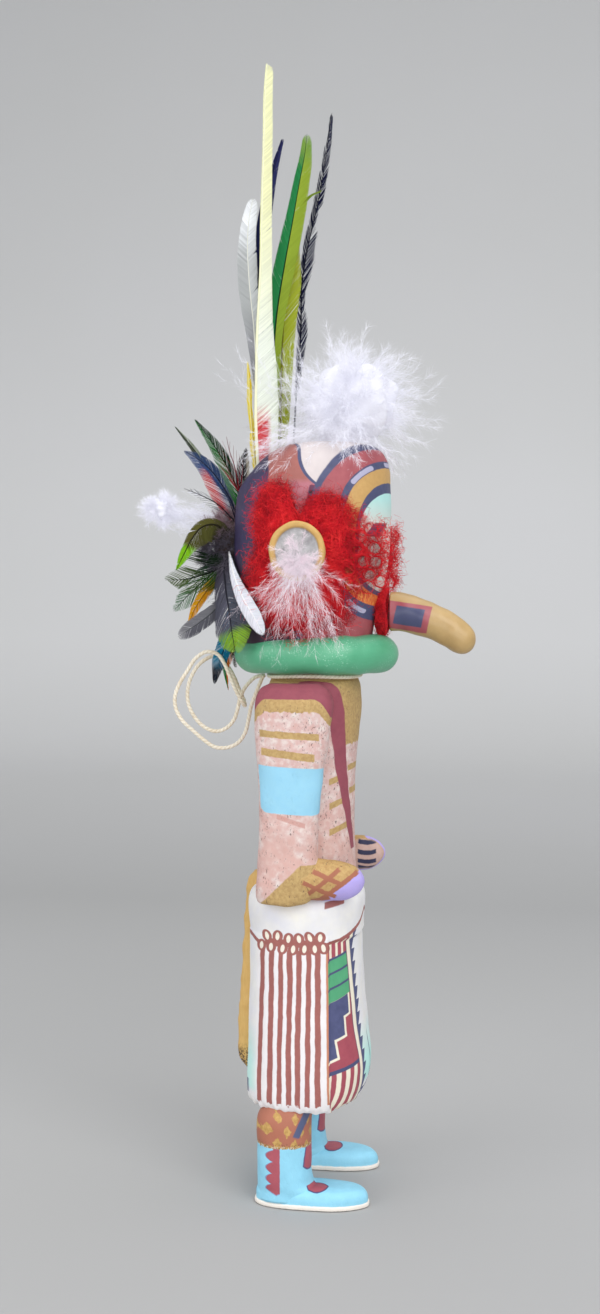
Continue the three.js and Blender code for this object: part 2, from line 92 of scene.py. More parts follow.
def unit(vectors):
    return vectors / np.maximum(np.linalg.norm(vectors, axis=-1, keepdims=True), 1e-9)


def ripple(points, size, seed, waves=18):
    # soft noise between about -1 and 1: a sum of sine waves in random directions, about size mm apart
    rng = np.random.default_rng(seed)
    directions = unit(rng.normal(size=(waves, 3)))
    lengths = size * rng.uniform(0.6, 1.7, waves)
    phases = rng.uniform(0, 2 * math.pi, waves)
    total = np.zeros(points.shape[:-1])
    for direction, length, phase in zip(directions, lengths, phases):
        total += np.sin(points @ direction * (2 * math.pi / length) + phase)
    return total / math.sqrt(waves / 2) * 0.6


def surfaceNormals(points):
    # of a grid that closes round its columns, pointing out
    around = np.roll(points, -1, 1) - np.roll(points, 1, 1)
    along = np.gradient(points, axis=0)
    return unit(np.cross(around, along))


def makeMesh(name, vertices, faces, values=None, smooth=True):
    # faces is an array of quads or of triangles, values a dictionary of one number a vertex
    mesh = bpy.data.meshes.new(name)
    sides = faces.shape[1]
    mesh.vertices.add(len(vertices))
    mesh.vertices.foreach_set("co", inFrame(vertices).astype(np.float32).ravel())
    mesh.loops.add(faces.size)
    mesh.loops.foreach_set("vertex_index", faces.astype(np.int32).ravel())
    mesh.polygons.add(len(faces))
    mesh.polygons.foreach_set("loop_start", np.arange(0, faces.size, sides, dtype=np.int32))
    mesh.polygons.foreach_set("loop_total", np.full(len(faces), sides, np.int32))
    mesh.update(calc_edges=True)
    for key, numbers in (values or {}).items():
        layer = mesh.attributes.new(key, "FLOAT", "POINT")
        layer.data.foreach_set("value", np.broadcast_to(numbers, (len(vertices),)).astype(np.float32).ravel())
    mesh.polygons.foreach_set("use_smooth", np.full(len(faces), smooth))
    piece = bpy.data.objects.new(name, mesh)
    bpy.context.collection.objects.link(piece)
    return piece


def closedPart(points, values=None):
    # points is rows by columns by 3. The columns close round, and each end is closed by ever smaller rings.
    ends = []
    for ring in (points[0], points[-1]):
        centre = ring.mean(0)
        ends.append([centre + (ring - centre) * share for share in (0.001, 0.35, 0.7)])
    rows = np.concatenate([np.array(ends[0]), points, np.array(ends[1])[::-1]])
    count, columns = rows.shape[:2]
    index = np.arange(count * columns).reshape(count, columns)
    across = np.roll(index, -1, 1)
    faces = np.stack([index[:-1], across[:-1], across[1:], index[1:]], -1).reshape(-1, 4)
    padded = {}
    for key, grid in (values or {}).items():
        grid = np.broadcast_to(grid, points.shape[:2])
        padded[key] = np.concatenate([grid[:1]] * 3 + [grid] + [grid[-1:]] * 3).ravel()
    return rows.reshape(-1, 3), faces, padded


def closedGrid(name, points, values=None):
    return makeMesh(name, *closedPart(points, values))


def oval(angle, square):
    # the point of a squarish oval at an angle that starts at the back and goes round by +X to the front
    c, s = np.sin(angle), np.cos(angle)
    power = 2.0 / square
    return np.sign(c) * np.abs(c) ** power, np.sign(s) * np.abs(s) ** power


def columnPoints(rows, count, columns, square, middle=0.0, grow=0.0):
    # rows of [height, half width, front, back], smoothed, each carried round a squarish oval
    rows = smoothRows(rows, count)
    angle = np.linspace(0, 2 * math.pi, columns, endpoint=False)
    across, deep = oval(-angle, square)
    half = rows[:, 1:2] + grow
    reach = (rows[:, 2:3] + rows[:, 3:4]) / 2 + grow
    x = middle + across * half
    y = (rows[:, 3:4] - rows[:, 2:3]) / 2 + deep * reach
    z = np.broadcast_to(rows[:, 0:1], x.shape)
    return np.stack([x, y, z], -1)


def roundFront(points):
    # how far round a grid each point lies from the middle of the front, towards -X counted below zero
    shut = np.concatenate([points, points[:, :1]], 1)
    step = np.linalg.norm(np.diff(shut, axis=1)[..., :2], axis=-1)
    length = np.concatenate([np.zeros((len(points), 1)), np.cumsum(step, 1)], 1)[:, :-1]
    whole = step.sum(1, keepdims=True)
    return length - whole / 2


def carried(path, face, half, thick, sides):
    # an oval section carried along a path: half and thick are its half sizes at each of the path's points
    tangent = unit(np.gradient(path, axis=0))
    out = unit(face - (tangent @ face)[:, None] * tangent)
    wide = np.cross(out, tangent)
    angle = np.linspace(0, 2 * math.pi, sides, endpoint=False)
    ring = wide[:, None] * (np.cos(angle)[:, None] * half[:, None, None])
    return path[:, None] + ring + out[:, None] * (np.sin(angle)[:, None] * thick[:, None, None])


# Materials

class Value:
    # a number or a colour in a material's tree, with Python's operators as its Math nodes
    def __init__(self, paint, socket):
        self.paint = paint
        self.socket = socket

    def math(self, operation, *others, clamp=False):
        settings = {"operation": operation, "use_clamp": clamp}
        return self.paint.node("ShaderNodeMath", settings, dict(enumerate((self,) + others)))

    def __add__(self, other): return self.math("ADD", other)
    __radd__ = __add__
    def __sub__(self, other): return self.math("SUBTRACT", other)
    def __rsub__(self, other): return self.paint.number(other).math("SUBTRACT", self)
    def __mul__(self, other): return self.math("MULTIPLY", other)
    __rmul__ = __mul__
    def __truediv__(self, other): return self.math("DIVIDE", other)
    def __pow__(self, other): return self.math("POWER", other)
    def __abs__(self): return self.math("ABSOLUTE")
    def __and__(self, other): return self.math("MULTIPLY", other)
    def __or__(self, other): return self.math("MAXIMUM", other)
    def sqrt(self): return self.math("SQRT")
    def sin(self): return self.math("SINE")
    def least(self, other): return self.math("MINIMUM", other)
    def repeat(self, pitch): return self.math("PINGPONG", pitch)
    def above(self, edge, soft=0.25):
        # 1 where the value is above the edge, over a soft border
        return self.math("MULTIPLY_ADD", 1 / soft, 0.5 - edge / soft, clamp=True)
    def below(self, edge, soft=0.25):
        return self.math("MULTIPLY_ADD", -1 / soft, 0.5 + edge / soft, clamp=True)
    def between(self, low, high, soft=0.25):
        return self.above(low, soft) * self.below(high, soft)


def linear(colour):
    # a display colour as the light that a shader works with
    colour = np.asarray(colour, float)
    return tuple(np.where(colour <= 0.04045, colour / 12.92, ((colour + 0.055) / 1.055) ** 2.4)) + (1.0,)


class Paint:
    # one procedural material. Its coordinates are millimetres round the doll's axis.
    def __init__(self, name, roughness=0.7, **constants):
        self.material = bpy.data.materials.new(name)
        self.material.use_nodes = True
        self.tree = self.material.node_tree
        self.shader = self.tree.nodes["Principled BSDF"]
        self.shader.inputs["Roughness"].default_value = roughness
        for key, value in constants.items():
            self.shader.inputs[key.replace("_", " ")].default_value = value

    def node(self, kind, settings, inputs, output=0):
        made = self.tree.nodes.new(kind)
        for key, value in settings.items():
            setattr(made, key, value)
        for key, value in inputs.items():
            if isinstance(value, Value):
                self.tree.links.new(value.socket, made.inputs[key])
            else:
                made.inputs[key].default_value = value
        return Value(self, made.outputs[output])

    def number(self, value):
        made = self.tree.nodes.new("ShaderNodeValue")
        made.outputs[0].default_value = value
        return Value(self, made.outputs[0])

    def attribute(self, name):
        return self.node("ShaderNodeAttribute", {"attribute_name": name}, {}, "Fac")

    def place(self):
        # the point in millimetres round the doll's axis, as a vector
        where = self.node("ShaderNodeTexCoord", {}, {}, "Object")
        shift = tuple(-axisShift)
        grown = self.node("ShaderNodeVectorMath", {"operation": "MULTIPLY_ADD"},
                          {0: where, 1: (1000, 1000, 1000), 2: shift})
        return grown

    def axes(self, place, shake=0.0, size=3.0):
        # x, y and z, shaken a little as a hand-painted edge is
        if shake:
            wave = self.node("ShaderNodeTexNoise", {"noise_dimensions": "3D"},
                             {"Vector": place, "Scale": 1 / size, "Detail": 2.0}, "Color")
            centred = self.node("ShaderNodeVectorMath", {"operation": "MULTIPLY_ADD"},
                                {0: wave, 1: (2 * shake,) * 3, 2: (-shake,) * 3})
            place = self.node("ShaderNodeVectorMath", {"operation": "ADD"}, {0: place, 1: centred})
        made = self.tree.nodes.new("ShaderNodeSeparateXYZ")
        self.tree.links.new(place.socket, made.inputs[0])
        return [Value(self, out) for out in made.outputs]

    def noise(self, place, size, detail=4.0, stretch=(1, 1, 1), rough=0.55):
        scaled = self.node("ShaderNodeVectorMath", {"operation": "MULTIPLY"},
                           {0: place, 1: tuple(1 / (size * s) for s in stretch)})
        return self.node("ShaderNodeTexNoise", {}, {"Vector": scaled, "Scale": 1.0, "Detail": detail,
                                                    "Roughness": rough})

    def mix(self, factor, under, over):
        # the colour over where the factor is 1
        inputs = {"Factor": factor, 6: under, 7: over}
        settings = {"data_type": "RGBA"}
        inputs = {key: linear(value) if isinstance(value, tuple) else value for key, value in inputs.items()}
        return self.node("ShaderNodeMix", settings, inputs, 2)

    def shade(self, colour, amount):
        # a colour made lighter or darker by a factor round 1
        grey = self.node("ShaderNodeCombineXYZ", {}, {0: amount, 1: amount, 2: amount})
        return self.node("ShaderNodeVectorMath", {"operation": "MULTIPLY"}, {0: colour, 1: grey})

    def finish(self, colour, roughness=None, height=None, strength=0.3, distance=0.0003):
        self.tree.links.new(colour.socket, self.shader.inputs["Base Color"])
        if roughness is not None:
            self.tree.links.new(roughness.socket, self.shader.inputs["Roughness"])
        if height is not None:
            bump = self.node("ShaderNodeBump", {}, {"Height": height, "Strength": strength,
                                                    "Distance": distance}, "Normal")
            self.tree.links.new(bump.socket, self.shader.inputs["Normal"])
        return self.material


# Paint colours as they show on the doll
tints = {
    "navy": (0.27, 0.29, 0.43),
    "turquoise": (0.70, 0.93, 0.89),
}


def dress(piece, material, slot, *nodes):
    # gives a piece its material, its body and the nodes that it stands for
    piece.data.materials.clear()
    piece.data.materials.append(material)
    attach(piece, "root")
    if nodes:
        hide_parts(*nodes)
    return piece


def carvedWear(paint, place, colour, flecks):
    # brushed and worn paint over carved wood: mottling, fine dark flecks and grain, with their bump
    mottle = paint.noise(place, 5.0, 5.0)
    colour = paint.shade(colour, mottle * 0.16 + 0.93)
    brush = paint.noise(place, 0.7, 3.0, (1, 1, 5))
    speck = paint.noise(place, 0.55, 2.0, (1, 1, 1.8)).above(flecks + 0.09, 0.05) \
        * paint.noise(place, 3.4, 2.0).above(0.50, 0.12)
    colour = paint.mix(speck * 0.75, colour, (0.36, 0.27, 0.24))
    height = brush * 0.5 + mottle * 0.6 - speck * 0.8
    return colour, height


# Camera and light

view = {
    "distance": 555.0,      # mm from the doll's axis
    "round": 8.5,           # degrees in front of the doll's right side
    "height": 217.9,        # mm above the floor
    "axisColumn": 12.0,     # px that the doll's axis stands right of the picture's middle
    "pxSize": 0.375,        # mm a pixel at the doll's axis
    "horizon": 57.0,        # px that the camera's own height stands above the picture's middle
    "pictureHigh": 1314,
}


def makeCamera():
    turn = math.radians(view["round"])
    towards = np.array([math.cos(turn), math.sin(turn), 0.0])    # the way the camera looks
    right = np.array([math.sin(turn), -math.cos(turn), 0.0])
    spot = -towards * view["distance"] - right * view["axisColumn"] * view["pxSize"]
    spot[2] = view["height"]
    data = bpy.data.cameras.new("Camera")
    data.sensor_fit = "VERTICAL"
    data.sensor_height = 36.0
    data.lens = view["distance"] / view["pxSize"] / view["pictureHigh"] * data.sensor_height
    data.shift_y = -view["horizon"] / view["pictureHigh"]
    data.clip_start = 0.01
    camera = bpy.data.objects.new("Camera", data)
    camera.location = inFrame(spot)
    camera.rotation_euler = (math.pi / 2, 0, -math.pi / 2 + turn)
    bpy.context.collection.objects.link(camera)
    bpy.context.scene.camera = camera


def makeLamp(name, spot, target, size, power, tint=(1, 1, 1)):
    data = bpy.data.lights.new(name, "AREA")
    data.shape = "RECTANGLE"
    data.size, data.size_y = size
    data.energy = power
    data.color = tint
    lamp = bpy.data.objects.new(name, data)
    lamp.location = spot
    aim = np.asarray(target, float) - np.asarray(spot, float)
    flat = math.hypot(aim[0], aim[1])
    lamp.rotation_euler = (math.pi / 2 + math.atan2(aim[2], flat), 0, math.atan2(-aim[0], aim[1]))
    bpy.context.collection.objects.link(lamp)


def makeStudio():
    # a pale sheet that runs from the floor up behind the doll in one curve
    reach = 2.2
    bend = 0.9
    side = np.linspace(-2.6, 2.6, 2)
    turn = np.linspace(0, math.pi / 2, 24)
    away = np.concatenate([[-3.0], reach - bend + bend * np.sin(turn), [reach]])
    high = np.concatenate([[0.0], bend - bend * np.cos(turn), [3.2]])
    points = np.stack([np.broadcast_to(away[:, None], (len(away), 2)), np.broadcast_to(side, (len(away), 2)),
                       np.broadcast_to(high[:, None], (len(away), 2))], -1).reshape(-1, 3)
    index = np.arange(len(points)).reshape(-1, 2)
    faces = np.stack([index[:-1, 0], index[1:, 0], index[1:, 1], index[:-1, 1]], -1)
    points[:, 2] -= 0.00005
    sheet = makeMesh("backdrop", points * 1000 - axisShift, faces)
    paint = Paint("paleSheet", 0.9)
    where = paint.node("ShaderNodeTexCoord", {}, {}, "Object")
    x, y, z = paint.axes(where)
    cloud = paint.node("ShaderNodeTexNoise", {}, {"Vector": where, "Scale": 1.6, "Detail": 3.0})
    # painted light and shade on the sheet: a little darker on the floor behind the doll, lighter towards and up
    # the rise, and darker again high up
    paintedLightAndShade = 0.70 - x.above(0.32, 0.4) * 0.10 + x.above(1.15, 1.3) * 0.52 - z.above(0.9, 1.0) * 0.16
    colour = paint.mix(cloud * 0.3, (0.80, 0.80, 0.79), (0.78, 0.78, 0.81))
    colour = paint.shade(colour, paintedLightAndShade * (cloud * 0.08 + 0.96))
    sheet.data.materials.append(paint.finish(colour))
    makeLamp("key", (-1.5, -1.1, 1.5), (0, 0, 0.2), (1.6, 1.6), 26)
    makeLamp("fill", (-1.3, 1.5, 0.9), (0, 0, 0.2), (1.6, 1.4), 12)
    makeLamp("above", (0.1, 0.0, 1.9), (0, 0, 0.1), (1.8, 1.8), 14)
    makeLamp("low", (-1.5, -0.3, 0.12), (0, 0, 0.17), (1.4, 0.5), 6)
    world = bpy.data.worlds.new("Room")
    world.use_nodes = True
    world.node_tree.nodes["Background"].inputs[0].default_value = (0.93, 0.95, 1.0, 1.0)
    world.node_tree.nodes["Background"].inputs[1].default_value = 0.6
    bpy.context.scene.world = world
    bpy.context.scene.view_settings.view_transform = "Standard"


makeCamera()
makeStudio()
print("camera and studio")


# The hanging cord and the string round the neck

cord = {
    "radius": 0.75,         # mm
    "length": 0.207,        # m, from the neck and back to it
    "twist": 3.4,           # mm along for one turn of its two plies
    "ply": 0.2,             # how deep the groove between the plies is
}
cordRoute = [
    (-2, 18.2, 189.6), (-2, 20.8, 183.4), (-1, 23, 177.8), (0, 24.2, 172.8), (0, 25.6, 167.6),
    (0, 28.2, 164), (0, 32.4, 162.1), (0, 37, 162.2), (0, 41.6, 165), (-1, 45.6, 168.6),
    (-2, 49.4, 172.4), (-2, 51.8, 176.8), (-2, 52.2, 181), (-2, 50.4, 186.2), (-2, 47.4, 191),
    (-2.6, 43.6, 196.2), (-3.2, 39.6, 198.4), (-3.4, 35.6, 197.6), (-3.4, 32.6, 193.6), (-3.3, 30.4, 188.4),
    (-3, 28, 183), (-2.2, 26.3, 179.7), (0, 25.6, 178), (2.2, 26.3, 179.7), (3, 28, 183),
    (3.4, 30.4, 188.6), (3.6, 33.4, 193.4), (3.4, 37.6, 196.6), (2.8, 42.4, 194.6), (2, 46.2, 189.8),
    (1.6, 48, 184), (1.6, 47.8, 178.6), (1.8, 45.4, 173.4), (2.2, 41.4, 169.4), (2.4, 37, 168),
    (2, 33, 169.4), (1.2, 30, 172.6), (0.4, 28.4, 177), (0.4, 27.4, 181.2), (1.2, 24.8, 186),
    (2, 21.6, 188.8), (2, 18.2, 189.4),
]


def cottonPaint():
    paint = Paint("twistedCotton", 0.9)
    along = paint.attribute("along")
    groove = paint.attribute("groove")
    fibre = paint.noise(paint.place(), 0.28, 3.0)
    # painted shade: the grooves between the plies are painted a darker tan
    colour = paint.mix(groove, (0.97, 0.94, 0.87), (0.80, 0.72, 0.58))
    colour = paint.shade(colour, fibre * 0.25 + 0.9)
    stain = paint.node("ShaderNodeTexNoise", {"noise_dimensions": "1D"}, {"W": along * 0.11, "Scale": 1.0})
    colour = paint.mix(stain.above(0.6, 0.3) * 0.35, colour, (0.79, 0.68, 0.50))
    return paint.finish(colour, None, fibre - groove, 0.5, 0.0002)


def twistedTube(name, path, radius, face, closed=False):
    # a section of two plies that turns as it is carried along the path, set out from the way that face points
    ahead = np.roll(path, -1, 0) - np.roll(path, 1, 0) if closed else np.gradient(path, axis=0)
    tangent = unit(ahead)
    face = np.array(face, float)
    across = unit(face - (tangent @ face)[:, None] * tangent)
    other = np.cross(tangent, across)
    step = np.linalg.norm(np.diff(path, axis=0), axis=1)
    along = np.concatenate([[0], np.cumsum(step)])
    turns = round(along[-1] / cord["twist"])
    spin = along / along[-1] * 2 * math.pi * turns
    angle = np.linspace(0, 2 * math.pi, 14, endpoint=False)
    lobe = np.abs(np.cos(angle[None] + spin[:, None]))
    size = radius * (1 - cord["ply"] + cord["ply"] * lobe ** 0.6)
    points = path[:, None] + size[..., None] * (np.cos(angle)[:, None] * across[:, None]
                                                + np.sin(angle)[:, None] * other[:, None])
    values = {"along": np.broadcast_to(along[:, None], size.shape), "groove": 1 - lobe ** 0.4}
    if not closed:
        return closedGrid(name, points, values)
    count, columns = points.shape[:2]
    index = np.arange(count * columns).reshape(count, columns)
    nextRow = np.roll(index, -1, 0)
    faces = np.stack([index, np.roll(index, -1, 1), np.roll(nextRow, -1, 1), nextRow], -1).reshape(-1, 4)
    return makeMesh(name, points.reshape(-1, 3), faces, {k: v.ravel() for k, v in values.items()})


def makeCords():
    cotton = cottonPaint()
    path = smoothRows(cordRoute, 620)
    hanging = dress(twistedTube("hanging_cord_twist", path, cord["radius"], (1, 0, 0)), cotton,
                    "cotton_string", "hanging_cord")
    real = np.linalg.norm(np.diff(path, axis=0), axis=1).sum() / 1000
    print("cord route", round(real, 4), "m")
    turn = np.linspace(0, 2 * math.pi, 240, endpoint=False)
    across, deep = oval(turn, 2.2)
    half, front, back = 19.2 + 1.05, 17.2 + 1.05, 15 + 1.05
    y = (back - front) / 2 + deep * (front + back) / 2
    height = 190 + 0.25 * np.sin(turn * 3)
    ring = np.stack([across * half, y, height], -1)
    dress(twistedTube("neck_string_twist", ring, cord["radius"], (0, 0, 1), True), cotton,
          "cotton_string", "neck_string")


makeCords()
print("cords")


# Legs and moccasins

foot = {
    "half": 8.0, "toe": 22.9, "heel": 17.6, "top": 6.9, "sole": 1.6, "edge": 0.5,
    "apart": 19.0,           # from the doll's middle to the middle of a leg
    "ankle": 21.6,           # height at which the moccasin ends
    "shin": (8.5, 2.6, 17.2),
    "hem": 35.0,
    "teeth": (18.9, 14.6, 10.6, 6.9),   # heights of the points of the toothed strip
    "strap": ((-3.2, 37.6), (2.1, 25.5)),
    "spots": ((-22.0, -4.9, 3.3, 3.7), (18.6, -5.5, 4.6, 3.4)),   # each foot's spot: x, y and half sizes
}


def stroke(y, z, start, end, half, soft=0.3):
    # 1 on a painted line between two places: near the line, and between its ends
    run = np.subtract(end, start)
    long = math.hypot(*run)
    cy, cz = float(run[0] / long), float(run[1] / long)
    along = y * cy + z * cz - (start[0] * cy + start[1] * cz)
    off = abs(y * cz - z * cy - (start[0] * cz - start[1] * cy))
    return off.below(half, soft) * along.between(0, long, 0.6)


def moccasinPaint():
    paint = Paint("moccasinAndLegPaint", 0.55)
    place = paint.place()
    x, y, z = paint.axes(place, 0.2, 2.0)
    out = abs(x) - foot["apart"]
    cloud = paint.noise(place, 5.0, 4.0)
    colour = paint.mix(cloud, (0.54, 0.80, 0.90), (0.60, 0.85, 0.94))
    # the netting on the outer side: two sets of broad ragged strokes that cross
    tan = paint.mix(paint.noise(place, 1.3, 4.0).above(0.5, 0.3), (0.80, 0.65, 0.38), (0.70, 0.54, 0.29))
    ragged = paint.noise(place, 1.1, 4.0) * 1.9 - 0.95
    turned = y + (out - 8.5) * 0.9
    one = (turned * 0.845 - z * 0.534 + 7.9).repeat(2.71) + ragged
    two = (turned * 0.758 + z * 0.652 + 3.0).repeat(2.77) + ragged
    net = one.below(1.42, 0.3) | two.below(1.42, 0.3)
    tan = paint.mix(net * z.above(foot["ankle"] + 0.9, 0.8), tan, (0.68, 0.42, 0.33))
    crumb = paint.noise(place, 0.55, 3.0)
    speckled = z.below(foot["ankle"] + 1.7, 1.4) * crumb.above(0.56, 0.08)
    tan = paint.mix(speckled * 0.8, tan, (0.45, 0.33, 0.20))
    tan = paint.mix(z.below(foot["ankle"] + 0.7, 0.5) * crumb.below(0.44, 0.06), tan, (0.78, 0.80, 0.80))
    legging = (z + crumb * 1.0 - 0.5).above(foot["ankle"], 0.25) * out.above(-7.4, 0.5)
    colour = paint.mix(legging, colour, tan)
    strap = stroke(y, z, *foot["strap"], 1.15) * out.above(0.0, 1.0)
    colour = paint.mix(strap, colour, (0.33, 0.36, 0.49))
    # toothed strip on the outer side: a straight front edge, and rounded teeth that point back
    saw = paint.number(0.0)
    for tooth in foot["teeth"]:
        off = (z - tooth) * 0.47
        saw = saw | (1.0 - off * off)
    cut = (y - saw * 2.7 - 10.3).math("MULTIPLY", -1.0)
    strip = cut.above(0.0, 0.25) * y.above(7.8, 0.3) * (z - abs(y - 9.2) * 0.5).above(4.7, 0.3) \
        * z.below(foot["ankle"] + 0.4, 0.3) * out.above(2.0, 0.5) * (1.0 - legging)
    rim = cut.above(-0.4, 0.25) * y.above(7.8, 0.3) * (z - abs(y - 9.2) * 0.5).above(4.4, 0.3) \
        * z.below(foot["ankle"] - 0.5, 0.3) * out.above(2.0, 0.5) * (1.0 - legging)
    colour = paint.mix(rim * 0.6, colour, (0.45, 0.38, 0.62))
    maroon = paint.mix(cloud, (0.62, 0.29, 0.35), (0.72, 0.36, 0.40))
    colour = paint.mix(strip, colour, maroon)
    # the long drop down the front of the shin, rounded below
    wide = (y + (z - 15.0) * 0.11 + 0.55).math("MULTIPLY", -1.0)
    low = z - (y + 2.6) * (y + 2.6) * 0.3
    colour = paint.mix(wide.above(-0.35, 0.2) * low.above(12.9, 0.3) * (1.0 - legging), colour,
                       (0.33, 0.30, 0.48))
    colour = paint.mix(wide.above(0.0, 0.2) * low.above(13.4, 0.3) * (1.0 - legging), colour, maroon)
    for middle, deep, half, long in foot["spots"]:
        far = (((y - deep) / long) ** 2.0 + ((x - middle) / half) ** 2.0).sqrt()
        top = z.between(foot["sole"] + 1.5, foot["top"] + 0.9)
        colour = paint.mix(far.below(1.13, 0.08) * top, colour, (0.25, 0.22, 0.42))
        colour = paint.mix(far.below(1.0, 0.08) * top, colour, maroon)
    colour = paint.mix(z.below(foot["sole"] + 0.1, 0.2), colour, (0.93, 0.90, 0.86))
    # painted shade: a thin dark line along the sole's lowest edge, where it meets the floor
    colour = paint.mix(z.below(0.28, 0.2) * 0.8, colour, (0.32, 0.28, 0.26))
    colour, height = carvedWear(paint, place, colour, 0.70)
    return paint.finish(colour, None, height + net * 0.4, 0.35)


def makeLegs():
    material = moccasinPaint()
    half, toe, heel, top, edge = (foot[k] for k in ("half", "toe", "heel", "top", "edge"))
    sole = [(0, half + edge - 0.3, toe + edge - 0.3, heel + edge - 0.3),
            (0.3, half + edge, toe + edge, heel + edge),
            (foot["sole"] - 0.2, half + edge, toe + edge, heel + edge),
            (foot["sole"], half + edge - 0.2, toe + edge - 0.2, heel + edge - 0.2)]
    upper = [(1.0, half, toe, heel), (3.2, half, toe, heel), (top - 2.6, half - 0.2, toe - 0.4, heel),
             (top - 1.1, half - 1.1, toe - 1.9, heel - 0.5), (top - 0.3, half - 2.6, toe - 4.2, heel - 1.6),
             (top, half - 4.2, toe - 6.4, heel - 3)]
    wide, front, back = foot["shin"]
    shin = [(2, wide - 0.6, front, back), (5.8, wide - 0.5, front + 2.6, back),
            (7.6, wide - 0.2, front + 0.8, back), (11, wide, front, back), (20, wide, front - 0.1, back),
            (foot["hem"] - 3, wide - 0.2, front, back - 0.4),
            (foot["hem"] + 0.5, wide - 1.6, front + 0.8, back - 2.4),
            (foot["hem"] + 4, wide - 2.6, front + 1.6, back - 4)]
    for name, side in (("right", -1), ("left", 1)):
        middle = side * foot["apart"]
        for part, rows, count, square in (("sole", sole, 14, 2.7), ("moccasin", upper, 40, 2.7),
                                          ("leg", shin, 50, 2.2)):
            points = columnPoints(rows, count, 110, square, middle)
            if part != "leg":
                # the toe draws in, more on its outer side
                out = (points[..., 0] - middle) * side
                ahead = np.clip((-9.0 - points[..., 1]) / 14.0, 0, 1)
                points[..., 0] -= side * out * ahead ** 2 * np.where(out > 0, 0.34, 0.12)
            if part != "sole":
                points += surfaceNormals(points) * (ripple(points, 9.0, 11 + side) * 0.12)[..., None]
            dress(closedGrid(part + "_" + name, points), material, "painted_cottonwood", "figure")


makeLegs()
print("legs and moccasins")


# Kilt, sash and pelt

kilt = {
    "rows": [(35, 25.4, 17.2, 21.6), (36.4, 26.2, 18.8, 22.6), (40, 26.8, 20.8, 23.0), (46, 26.8, 22.0, 22.9),
             (58, 26.2, 20.8, 22.4), (72, 25.6, 19.6, 21.7), (95, 24.8, 18.4, 21.4), (110, 24.4, 17.9, 21.4),
             (111, 23.4, 17, 20.4)],
    "square": 2.5,
    "sashLow": 95.0,
    "sashProud": 0.8,
    "fringeProud": 1.1,
    "fringeFront": -9.2,     # where along Y the fringed sash ends, towards the front
    "fringeBack": 21.0,
    # where along Y the fringe's lines stand, at its top and at the hem
    "stripes": ((14.8, 16.1), (11.3, 11.7), (7.7, 8.2), (4.4, 4.7), (1.1, 1.4), (-2.4, -2.2), (-5.6, -6.0)),
    # the rings of the fringe: their middle along Y and up, and how they lean
    "rings": ((13.2, 96.8, -0.4), (9.0, 97.1, 0.1), (4.9, 96.4, 0.1), (1.1, 96.5, -0.2), (-2.8, 97.0, -0.6),
              (-6.4, 96.9, 0.0), (15.4, 93.1, 0.2), (11.5, 93.1, 0.1), (7.1, 92.9, 0.3), (3.2, 92.8, 0.2),
              (-0.9, 93.0, 0.2), (-4.6, 93.0, -0.1), (-7.6, 93.2, -0.3)),
    "greenLines": (91.1, 86.2, 81.0),
    "greenLow": 76.2,
    "steps": ((16.5, 69.0), (19.5, 62.4), (24.3, 56.1)),   # the stepped edge: how far round, and how high
    "toothHigh": 90.9, "toothPitch": 4.64,
}


def ring(y, z, middle, height, lean, narrow=1.0):
    # how far a point lies from the middle of a leaning oval ring, with the way across counted narrow times
    up = z - height
    return (((y - middle + up * (lean * 0.5)) * narrow) ** 2.0 + (up / 1.12) ** 2.0).sqrt()


